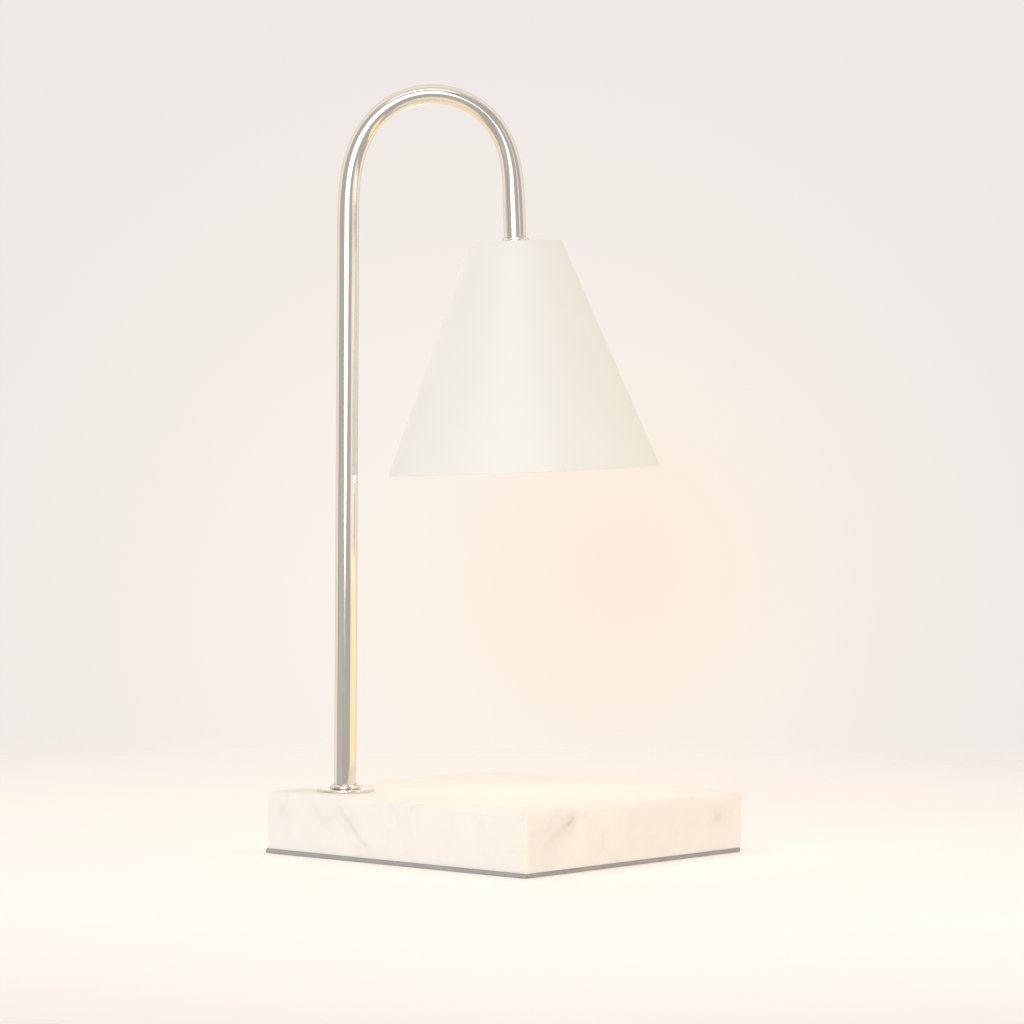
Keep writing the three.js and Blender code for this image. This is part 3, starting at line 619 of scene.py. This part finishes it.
def stack(name, rings, material, body, replaces=(), at=Matrix.Identity(4), sharp=32.0, warp=None):
    n = len(rings[0])
    verts, faces = [], []
    for ring in rings:
        for p in ring:
            p = Vector(p)
            if warp:
                p = warp(p)
            verts.append(at @ p * MM)
    for i in range(len(rings) - 1):
        for k in range(n):
            k2 = (k + 1) % n
            faces.append((i * n + k, i * n + k2, (i + 1) * n + k2, (i + 1) * n + k))
    faces.append(tuple(range(n)))
    faces.append(tuple(range((len(rings) - 1) * n, len(rings) * n)))
    return build(name, verts, faces, material, body, replaces, sharp)


# ------------------------------------------------------------------ slab
def slab_warp(p):
    # the hand-honed edge wanders by a few hundredths of a millimetre
    q = p.copy()
    edge = max(0.0, min(1.0, (p.z - (SLAB_TOP - 3.2)) / 1.0))
    d = 0.10 * edge * noise.noise(p * 0.09) + 0.04 * edge * noise.noise(p * 0.5)
    q.x += d * (1 if p.x > 0 else -1)
    q.y += d * (1 if p.y > 0 else -1)
    return q


def make_slab():
    e = 2.5
    rings = []
    for inset, z in ((0.4, SLAB_LOW), (0.12, SLAB_LOW + 0.12), (0.0, SLAB_LOW + 0.4), (0.0, SLAB_LOW + 1.2), (0.0, 14.0),
                     (0.0, SLAB_TOP - e - 0.6)):
        rings.append(rounded_ring(HALF - inset, HALF - inset, 1.45, z, corner=10))
    for k in range(13):
        a = (math.pi / 2) * k / 12
        rings.append(rounded_ring(HALF - e * (1 - math.cos(a)), HALF - e * (1 - math.cos(a)), 1.45, SLAB_TOP - e + e * math.sin(a), corner=10))
    rings.append(rounded_ring(HALF - e - 0.6, HALF - e - 0.6, 1.45, SLAB_TOP, corner=10))
    ob = stack("stone_slab", rings, STONE, None, at=QUARTER, warp=slab_warp)
    carve(ob, [
        tool_rod(6.0, -5, 40, 64, Matrix.Translation((POLE_X, 0, 0))),
        tool_rod(16.0, -5, 18.5, 96, Matrix.Translation((POLE_X, 0, 0))),
        tool_box((POLE_A - 3.5, POLE_B, -5), (POLE_A + 3.5, HALF + 10, 8.4), QUARTER),
    ])
    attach(ob, "lamp")
    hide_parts("marble_base")
    return ob


make_slab()


def pad_warp(p):
    # knife-cut sheet: a hair out of square, edges wander slightly
    q = p.copy()
    far = max(0.0, (p.y - p.x) / 150.0) ** 6
    q.x += -0.15 - 0.55 * far + 0.22 * noise.noise(Vector((p.y * 0.045, 3.0, 0)))
    q.y += 0.15 + 0.55 * far + 0.22 * noise.noise(Vector((p.x * 0.045, 9.0, 0)))
    return q


pad_rings = []
for inset, z in ((0.35, 0.0), (0.10, 0.08), (0.0, 0.28), (-0.04, 0.9), (0.0, 1.6), (0.08, 1.80), (0.30, 1.88)):
    pad_rings.append(rounded_ring(75.1 - inset, 75.1 - inset, 1.2, z, side=60))
stack("foam_pad", pad_rings, FOAM, "lamp", ("base_pad",), at=QUARTER, warp=pad_warp)


# ------------------------------------------------------------------ tube
def tube_stations(foot_z, end_depth, r, thread=True, bend_steps=150, flatten=1.0):
    out = []

    def run(a, b, n, threaded):
        for k in range(n + 1):
            f = k / n
            rr = r
            if threaded:
                rr = r - (0.30 if k % 2 else 0.0) - (0.25 if k in (0, n) else 0.0)
            out.append((a.lerp(b, f), (b - a).normalized(), rr, 0.0))

    pole_low, pole_high = Vector((POLE_X, 0, foot_z)), Vector((POLE_X, 0, BEND_START_Z))
    if thread:
        run(pole_low, Vector((POLE_X, 0, 24.0)), 24, True)
        out.append((Vector((POLE_X, 0, 24.5)), Vector((0, 0, 1)), r, 0.0))
        out.append((Vector((POLE_X, 0, 24.8)), Vector((0, 0, 1)), r, 0.0))
        run(Vector((POLE_X, 0, 25.4)), pole_high, 24, False)
    else:
        run(pole_low, pole_high, 24, False)
    for x, z, h, k in unit_bend(bend_steps)[1:]:
        out.append((Vector((POLE_X + BEND_R * x, 0, BEND_START_Z + BEND_R * z)),
                    Vector((math.sin(h), 0, math.cos(h))), r, k * flatten))
    end = SHADE_TOP + LEG_DIR * end_depth
    if thread:
        start = SHADE_TOP - LEG_DIR * 1.6
        out.append((LEG_START.lerp(start, 0.5), LEG_DIR.copy(), r, 0.0))
        for before in (1.6, 0.8, 0.5):
            out.append((start - LEG_DIR * before, LEG_DIR.copy(), r, 0.0))
        run(start, end, 28, True)
    else:
        out.append((LEG_START.lerp(end, 0.5), LEG_DIR.copy(), r, 0.0))
        out.append((end, LEG_DIR.copy(), r, 0.0))
    return out


sweep("gooseneck", tube_stations(FOOT_Z, END_DEPTH, TUBE_R), 96, NICKEL, "lamp", "polished_metal", ("gooseneck_tube",), bore=TUBE_BORE)

# lead: from the inlet through the channel and up the tube
back = Vector((-math.sqrt(0.5), math.sqrt(0.5), 0))
lead_pole = Vector((POLE_X, 0, 5.2))
lead = []
inlet, turn = lead_pole + back * (HALF - 4.8 - POLE_B), lead_pole + back * 7.0
for k in range(7):
    lead.append((inlet.lerp(turn, k / 6), -back, 2.1, 0.0))
for k in range(1, 15):
    a = (math.pi / 2) * k / 14
    lead.append((turn - back * (7.0 * math.sin(a)) + Vector((0, 0, 7.0 * (1 - math.cos(a)))),
                 -back * math.cos(a) + Vector((0, 0, math.sin(a))), 2.1, 0.0))
lead += tube_stations(12.2, 8.5, 2.1, False, 90, 0.0)[1:]
sweep("lead", lead, 24, SHEATH, "lamp", "lead_sheath", ("inner_lead",))

for i, s, mat_, slot_ in ((1, 1, BROWN, "wire_brown"), (2, -1, BLUE, "wire_blue")):
    ctrl = [Vector((s * x, 0, z)) for x, z in ((1.15, -8.8), (1.15, -11.2), (1.6, -13.6), (4.2, -15.4), (6.4, -16.8), (7.0, -18.6), (7.0, -21.5))]
    pts = []
    for j in range(len(ctrl) - 1):
        p0, p1, p2, p3 = ctrl[max(j - 1, 0)], ctrl[j], ctrl[j + 1], ctrl[min(j + 2, len(ctrl) - 1)]
        for k in range(6):
            t = k / 6
            pts.append(0.5 * ((2 * p1) + (p2 - p0) * t + (2 * p0 - 5 * p1 + 4 * p2 - p3) * t * t + (3 * p1 - p0 - 3 * p2 + p3) * t ** 3))
    pts.append(ctrl[-1])
    pts = [HEAD @ p for p in pts]
    st = []
    for j, p in enumerate(pts):
        d = pts[min(j + 1, len(pts) - 1)] - pts[max(j - 1, 0)]
        st.append((p, d.normalized(), 0.95, 0.0))
    sweep(f"conductor_{i}", st, 16, mat_, "lamp", slot_, (f"lead_wire_{i}",))

# ------------------------------------------------------------------ flange, collar, collar nut
FOOT = Matrix.Translation((POLE_X, 0, 0))
z0 = SLAB_TOP + 0.1
lathe("flange", fillet([(5.3, z0), (13.0, z0), (13.0, z0 + 0.75), (12.4, z0 + 1.05), (8.2, z0 + 1.1), (5.3, z0 + 1.1)],
                       {1: 0.12, 2: 0.25, 3: 0.3}, 4), 128, TURNED, "lamp", ("base_flange",), FOOT)
z1 = SLAB_TOP + 1.1 + 0.3
lathe("collar", fillet([(5.3, z1), (6.95, z1), (6.95, z1 + 0.8), (6.5, z1 + 1.25), (5.7, z1 + 1.7), (5.3, z1 + 1.7)],
                       {1: 0.15, 2: 0.35, 3: 0.5, 4: 0.2}, 5), 96, TURNED, "lamp", ("base_collar",), FOOT)
lathe("collar_nut", fillet([(5.3, 0.3), (6.8, 0.3), (6.8, 0.7), (6.25, 1.05), (5.75, 1.95), (5.3, 1.95)],
                           {1: 0.12, 2: 0.18, 3: 0.5, 4: 0.2}, 5), 96, TURNED, "lamp", ("shade_collar_nut",), HEAD)

# ------------------------------------------------------------------ shade
slope = (SHADE_RIM_R - SHADE_TOP_R) / SHADE_H
tip = math.atan(slope)
inner_r = SHADE_T / math.cos(tip)
side_steps = 14
outer_pts = [(5.4, 0.0), (12.0, 0.0), (SHADE_TOP_R, 0.0)]
outer_pts += [(SHADE_TOP_R + slope * SHADE_H * k / side_steps, -SHADE_H * k / side_steps) for k in range(1, side_steps + 1)]
inner_pts = [(SHADE_TOP_R - inner_r + slope * SHADE_H * k / side_steps, -SHADE_H * k / side_steps) for k in range(side_steps, 0, -1)]
inner_pts += [(SHADE_TOP_R - inner_r + slope * SHADE_T, -SHADE_T), (12.0, -SHADE_T), (5.4, -SHADE_T)]
n_out = len(outer_pts)
loop = fillet(outer_pts + inner_pts, {2: 1.2, n_out - 1: 0.45, n_out: 0.45, n_out + side_steps: 0.7}, 8)
inside_from = next(i for i, q in enumerate(loop) if q[1] < -SHADE_H + 0.01 and q[0] < SHADE_RIM_R - 0.6)
lathe("shade_shell", loop, 256, COAT, "lamp", ("shade",), HEAD, wobble=0.05,
      mats=[COAT, COAT_IN], pick=lambda i: 1 if i >= inside_from else 0)

# ------------------------------------------------------------------ CAD pieces carried over, with fine edges
def carry(node, material, width=0.12, dissolve=True):
    ob = NODES[node]
    ob.data.materials.clear()
    ob.data.materials.append(material)
    ob.data.shade_smooth()
    if dissolve:
        d = ob.modifiers.new("flat", "DECIMATE")
        d.decimate_type = "DISSOLVE"
        d.angle_limit = math.radians(1.0)
    if width:
        b = ob.modifiers.new("edge", "BEVEL")
        b.width = width * MM
        b.segments = 2
        b.limit_method = "ANGLE"
        b.angle_limit = math.radians(35)
        b.harden_normals = True
    return ob


for node in ("base_washer", "base_lock_washer", "base_hex_nut", "shade_washer", "shade_lock_nut", "bracket_nut",
             "holder_bracket", "holder_screw_1", "holder_screw_2"):
    carry(node, ZINC)
for node in ("lampholder_cap", "lampholder_body"):
    carry(node, CERAMIC, 0.25)
for node in ("holder_contact_1", "holder_contact_2"):
    carry(node, BRASS, 0.05)
carry("cord_grommet", RUBBER, 0.25)

# ------------------------------------------------------------------ reflector lamp
lathe("lamp_base", fillet([(0, -47.2), (13.2, -47.2), (13.4, -46.4), (12.6, -43.5), (11.4, -41.0), (11.4, -34.0), (10.4, -33.0), (0, -33.0)],
                          {1: 0.3, 2: 0.4, 3: 1.2, 4: 1.4, 5: 0.4, 6: 0.4}, 5, closed=False), 96, CERAMIC, None, at=HEAD, closed=False)
base_ob = bpy.data.objects["lamp_base"]
carve(base_ob, [
    tool_rod(1.8, -37, -30, 32, HEAD @ Matrix.Translation((5.0, 0, 0))),
    tool_rod(1.8, -37, -30, 32, HEAD @ Matrix.Translation((-5.0, 0, 0))),
    tool_rod(4.4, -60, -40.5, 48, HEAD),
])
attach(base_ob, "bulb")
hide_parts("bulb_base")

for i, s in ((1, 1), (2, -1)):
    lathe(f"lamp_pin_{i}", fillet([(0, -36.7), (1.5, -36.7), (1.5, -28.5), (2.4, -28.2), (2.4, -26.0), (1.9, -25.4), (0, -25.4)],
                                  {1: 0.2, 3: 0.25, 4: 0.4, 5: 0.4}, 4, closed=False), 48, BRASS, "bulb",
          (f"bulb_pin_{i}",), HEAD @ Matrix.Translation((s * 5.0, 0, 0)), closed=False)

D0, D1 = 47.6, 84.0


def r_out(d):
    return 12.9 + (24.4 - 12.9) * math.sqrt(max(0.0, (d - D0) / (D1 - D0)))


def r_in(d):
    return 6.2 + (22.9 - 6.2) * math.sqrt(max(0.0, (d - D0) / (D1 - D0)))


def make_reflector():
    """Glass reflector: smooth outside, rows of flat facets inside."""
    n = 144
    facets = 36
    per = n // facets
    prof_out = [(r_out(D0 + (D1 - D0) * (k / 24) ** 2), D0 + (D1 - D0) * (k / 24) ** 2) for k in range(25)]
    rim = fillet([(24.4, 84.0), (25.0, 84.8), (25.0, 86.7), (24.6, 87.0), (23.6, 87.0), (23.3, 84.1), (22.9, 84.0)],
                 {1: 0.5, 2: 0.3, 3: 0.2, 4: 0.3}, 3, closed=False)[1:]
    rows = 11
    prof_in = [(r_in(D0 + (D1 - D0) * (k / rows) ** 1.7), D0 + (D1 - D0) * (k / rows) ** 1.7) for k in range(rows, -1, -1)][1:]
    loop = prof_out + rim + prof_in
    first_in = len(prof_out) + len(rim)
    verts, faces, fm, flat = [], [], [], []
    for i, (r, d) in enumerate(loop):
        inside = i >= first_in
        row = i - first_in
        for k in range(n):
            t = 2 * math.pi * k / n
            rr = r
            if inside:
                # chord of the facet that this column belongs to
                w = 2 * math.pi / facets
                ph = (t % w) - w / 2
                rr = r * math.cos(w / 2) / math.cos(ph)
            verts.append(HEAD @ Vector((rr * math.cos(t), rr * math.sin(t), -d)) * MM)
    m = len(loop)
    for i in range(m):
        j = (i + 1) % m
        inner = first_in - 1 <= i < m - 1
        for k in range(n):
            k2 = (k + 1) % n
            faces.append((i * n + k, j * n + k, j * n + k2, i * n + k2))
            fm.append(1 if inner else 0)
    ob = build("reflector", verts, faces, None, None, mats=[MIRROR_OUT, MIRROR_IN], face_mats=fm, sharp=8.0)
    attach(ob, "bulb")
    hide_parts("bulb_reflector")


make_reflector()
lathe("front_glass", fillet([(0, -86.45), (12, -86.40), (20, -86.25), (22.4, -86.1), (22.9, -85.8), (22.9, -84.7), (22.4, -84.6), (0, -84.6)],
                            {3: 0.3, 4: 0.2, 5: 0.2}, 3, closed=False), 128, GLASS, "bulb", ("bulb_front_glass",), HEAD,
      closed=False)
lathe("capsule", fillet([(0, -66.5), (1.6, -65.9), (3.4, -63.8), (4.1, -60.5), (4.1, -54.5), (3.2, -51.5), (2.4, -50.0), (2.4, -41.0), (0, -41.0)],
                        {1: 1.0, 2: 1.5, 3: 1.5, 4: 1.0, 5: 1.0, 6: 0.6}, 4, closed=False), 48, CAPSULE, "bulb",
      ("bulb_capsule",), HEAD, closed=False)

# ------------------------------------------------------------------ floor
def make_floor():
    n, rings = 96, (0.0, 0.15, 0.3, 0.5, 0.8, 1.2, 1.8, 2.6, 3.6)
    z = -0.0001
    verts, faces = [(0, 0, z)], []
    for r in rings[1:]:
        verts += [(r * math.cos(2 * math.pi * k / n), r * math.sin(2 * math.pi * k / n), z) for k in range(n)]
    for k in range(n):
        faces.append((0, 1 + k, 1 + (k + 1) % n))
    for i in range(len(rings) - 2):
        a, b = 1 + i * n, 1 + (i + 1) * n
        for k in range(n):
            faces.append((a + k, b + k, b + (k + 1) % n, a + (k + 1) % n))
    me = bpy.data.meshes.new("floor")
    me.from_pydata(verts, [], faces)
    ob = bpy.data.objects.new("floor", me)
    bpy.context.scene.collection.objects.link(ob)
    m = Mat("floor_paint", Roughness=0.8)
    g = m.noise(6, None, 2.0, 0.5)
    m.set("Base Color", m.mix(g, (0.82, 0.768, 0.745), (0.81, 0.758, 0.735)))
    m.p.inputs["Specular IOR Level"].default_value = 0.12
    m.p.inputs["Emission Color"].default_value = (1.0, 0.92, 0.87, 1)
    m.p.inputs["Emission Strength"].default_value = 0.22
    far = m.vmath("LENGTH", m.vmath("MULTIPLY", m.coord, (1, 1, 0)), out="Value")
    fade = m.remap(far, 0.24, 0.72, 0.0, 1.0, True)
    clear = m.nt.nodes.new("ShaderNodeBsdfTransparent")
    mixer = m.nt.nodes.new("ShaderNodeMixShader")
    # the underside of the floor is clear, so that the lamp can be looked at from below
    under = m.nt.nodes.new("ShaderNodeNewGeometry").outputs["Backfacing"]
    gone = m.nt.nodes.new("ShaderNodeMath")
    gone.operation = "MAXIMUM"
    m.nt.links.new(fade, gone.inputs[0])
    m.nt.links.new(under, gone.inputs[1])
    m.nt.links.new(gone.outputs[0], mixer.inputs[0])
    m.nt.links.new(m.p.outputs[0], mixer.inputs[1])
    m.nt.links.new(clear.outputs[0], mixer.inputs[2])
    m.nt.links.new(mixer.outputs[0], m.out.inputs[0])
    me.materials.append(m.m)
    ob.visible_glossy = False


make_floor()

# ------------------------------------------------------------------ light
world = bpy.data.worlds.new("studio")
bpy.context.scene.world = world
world.use_nodes = True
wt = world.node_tree
wt.nodes.clear()
wout = wt.nodes.new("ShaderNodeOutputWorld")
wmix = wt.nodes.new("ShaderNodeMixShader")
seen = wt.nodes.new("ShaderNodeBackground")
lit = wt.nodes.new("ShaderNodeBackground")
path = wt.nodes.new("ShaderNodeLightPath")
wt.links.new(path.outputs["Is Camera Ray"], wmix.inputs[0])
wt.links.new(lit.outputs[0], wmix.inputs[1])
wt.links.new(seen.outputs[0], wmix.inputs[2])
wt.links.new(wmix.outputs[0], wout.inputs[0])
wc = wt.nodes.new("ShaderNodeTexCoord").outputs["Generated"]


def wnode(kind, out=0, op=None, *ins):
    n = wt.nodes.new(kind)
    if op:
        n.operation = op
    for i, v in enumerate(ins):
        if isinstance(v, bpy.types.NodeSocket):
            wt.links.new(v, n.inputs[i])
        else:
            n.inputs[i].default_value = v
    return n.outputs[out]


def wmap(v, a, b):
    n = wt.nodes.new("ShaderNodeMapRange")
    n.interpolation_type = "SMOOTHSTEP"
    wt.links.new(v, n.inputs[0])
    for i, x in ((1, a), (2, b), (3, 0.0), (4, 1.0)):
        n.inputs[i].default_value = x
    return n.outputs[0]


def wcol(fac, a, b):
    n = wt.nodes.new("ShaderNodeMix")
    n.data_type = "RGBA"
    wt.links.new(fac, n.inputs[0])
    for i, v in ((6, a), (7, b)):
        if isinstance(v, bpy.types.NodeSocket):
            wt.links.new(v, n.inputs[i])
        else:
            n.inputs[i].default_value = (*v, 1)
    return n.outputs[2]


# what lights the object: a dim room in front, a pale wall behind, a pale ceiling and a warm table below
back = wnode("ShaderNodeVectorMath", "Value", "DOT_PRODUCT", wc, (0.0837, 0.9965, 0.0))
up = wnode("ShaderNodeVectorMath", "Value", "DOT_PRODUCT", wc, (0.0, 0.0, 1.0))
down = wnode("ShaderNodeVectorMath", "Value", "DOT_PRODUCT", wc, (0.0, 0.0, -1.0))
room = wcol(wmap(up, 0.65, 0.95), (0.55, 0.53, 0.51), (0.86, 0.80, 0.73))
room = wcol(wmap(down, 0.62, 0.84), room, (1.12, 0.96, 0.74))
wall = wcol(wmap(back, 0.62, 0.78), (1.08, 0.98, 0.88), (0.84, 0.78, 0.72))
wall = wcol(wmap(back, 0.90, 0.96), wall, (1.05, 1.00, 0.94))
wall = wcol(wmap(down, 0.12, 0.40), wall, (1.15, 0.98, 0.75))
low_side = wnode("ShaderNodeMath", 0, "MULTIPLY", wmap(down, 0.030, 0.055), wmap(wnode("ShaderNodeMath", 0, "SUBTRACT", 0.9, back), 0.15, 0.35))
right = wnode("ShaderNodeVectorMath", "Value", "DOT_PRODUCT", wc, (0.9965, -0.0837, 0.0))
low_side = wnode("ShaderNodeMath", 0, "MULTIPLY", low_side, wmap(right, 0.05, 0.25))
wall = wcol(low_side, wall, (1.27, 1.02, 0.72))
wt.links.new(wcol(wmap(back, 0.0, 0.15), room, wall), lit.inputs["Color"])
# what is seen: a plain pale backdrop, a little warmer and brighter where the lamp shines on it
off = wnode("ShaderNodeMath", 0, "ARCCOSINE", wnode("ShaderNodeVectorMath", "Value", "DOT_PRODUCT", wc, (0.07985, 0.99557, -0.04985)))
away = wnode("ShaderNodeMath", 0, "DIVIDE", off, math.radians(10.5))
glow_w = wnode("ShaderNodeMath", 0, "POWER", wnode("ShaderNodeMath", 0, "SUBTRACT", 1.0, wmap(away, 0.0, 1.0)), 1.6)
off_2 = wnode("ShaderNodeMath", 0, "ARCCOSINE", wnode("ShaderNodeVectorMath", "Value", "DOT_PRODUCT", wc, (0.11045, 0.99315, -0.03835)))
glow_2 = wnode("ShaderNodeMath", 0, "SUBTRACT", 1.0, wmap(off_2, 0.0, math.radians(4.4)))
shown = wcol(glow_w, (0.855, 0.815, 0.785), (0.985, 0.91, 0.825))
wt.links.new(wcol(glow_2, shown, (0.975, 0.845, 0.735)), seen.inputs["Color"])


def area(name, direction, distance, size, power, colour=(1, 1, 1), height=0.2, aim=(0, 0, 0.15), shape="RECTANGLE",
         lean=0.0, use="both"):
    """A softbox. use: soft lights matt surfaces only, gloss shows in polished ones only."""
    data = bpy.data.lights.new(name, "AREA")
    data.shape = shape
    data.size, data.size_y = size
    data.energy = power
    data.color = colour
    ob = bpy.data.objects.new(name, data)
    bpy.context.scene.collection.objects.link(ob)
    at = Vector((direction[0], direction[1], 0)).normalized() * distance
    at.z = height
    ob.location = at
    ob.rotation_mode = "QUATERNION"
    ob.rotation_quaternion = (Vector(aim) - at).to_track_quat("-Z", "Y") @ Quaternion((0, 0, 1), math.radians(lean))
    ob.visible_camera = False
    ob.visible_diffuse, ob.visible_glossy = use != "gloss", use != "soft"
    return ob


def toward(alpha_deg):
    """Level direction from the lamp: 0 towards the camera, positive to the picture's right."""
    a = math.radians(alpha_deg)
    f, r = Vector((CAM_F.x, CAM_F.y, 0)).normalized(), Vector((CAM_R.x, CAM_R.y, 0)).normalized()
    return -f * math.cos(a) + r * math.sin(a)


area("softbox_front", toward(-36), 2.3, (2.4, 2.0), 23.2, (0.97, 0.99, 1.01), 0.98, (0, 0, 0.45), use="soft")
area("softbox_right", toward(60), 2.2, (0.85, 1.8), 3.4, (1.0, 0.90, 0.78), 0.8, use="soft")
area("softbox_low", toward(50), 0.80, (0.50, 0.22), 1.0, (1.0, 0.83, 0.62), 0.13, (0.05, -0.03, 0.0), use="soft")
area("card_front", toward(-15), 2.3, (2.35, 2.0), 18.5, (1.0, 0.99, 0.97), 0.98, (0, 0, 0.45), "ELLIPSE", use="gloss")
area("card_mid", toward(5), 2.3, (0.50, 1.5), 3.8, (1.0, 0.99, 0.97), 1.15, (0, 0, 0.45), use="gloss")
area("card_right", toward(62), 2.2, (1.9, 0.314), 1.256, (1.0, 0.87, 0.74), 0.203, (0, 0, 0.203), use="gloss")
area("card_side", toward(81), 2.2, (1.2, 0.215), 0.312, (1.0, 0.86, 0.68), 0.2325, (0, 0, 0.2325), use="gloss")
area("card_left_low", toward(-55), 2.3, (1.6, 0.9), 0.34, (1.0, 0.96, 0.88), -0.25, (0, 0, -0.25), "ELLIPSE", use="gloss")
area("card_right_high", toward(52), 2.2, (0.45, 1.2), 0.81, (1.0, 0.92, 0.84), 0.96, (0, 0, 0.96), use="gloss")
area("card_low", toward(70), 0.45, (0.48, 0.150), 0.171, (1.0, 0.72, 0.27), 0.040, (-0.07, 0, 0.040), use="gloss")
area("card_back", toward(176), 2.2, (0.36, 0.67), 0.58, (1.0, 0.98, 0.95), -0.365, (0, 0, -0.365), use="gloss")
area("softbox_top", toward(-8), 0.9, (1.5, 0.5), 2.6, (1.0, 0.95, 0.86), 2.0, (0, 0, 0.2))

# warm light that the wall throws back on the shade's side facing the pole
side = bpy.data.lights.new("wall_light", "SPOT")
side.energy = 22.0
side.color = (1.0, 0.86, 0.66)
side.spot_size = math.radians(15)
side.spot_blend = 0.6
side.shadow_soft_size = 0.12
wall_light = bpy.data.objects.new("wall_light", side)
bpy.context.scene.collection.objects.link(wall_light)
wall_light.location = toward(-150) * 1.5 + Vector((0, 0, 0.30))
wall_light.rotation_mode = "QUATERNION"
wall_light.rotation_quaternion = (Vector((0, 0, 0.225)) - wall_light.location).to_track_quat("-Z", "Y")
wall_light.visible_glossy = False

# the lit lamp: a warm cone downwards and a little spill inside the shade
spot = bpy.data.lights.new("lamp_beam", "SPOT")
spot.energy = 0.175
spot.color = (1.0, 0.76, 0.48)
spot.spot_size = math.radians(112)
spot.spot_blend = 0.9
spot.shadow_soft_size = 0.018
beam = bpy.data.objects.new("lamp_beam", spot)
bpy.context.scene.collection.objects.link(beam)
beam.location = (HEAD @ Vector((0, 0, -92.0))) * MM
beam.rotation_mode = "QUATERNION"
beam.rotation_quaternion = LEG_DIR.to_track_quat("-Z", "Y")
spill = bpy.data.lights.new("lamp_spill", "POINT")
spill.energy = 0.10
spill.color = (1.0, 0.80, 0.55)
spill.shadow_soft_size = 0.012
glow = bpy.data.objects.new("lamp_spill", spill)
bpy.context.scene.collection.objects.link(glow)
glow.location = (HEAD @ Vector((0, 0, -95.0))) * MM
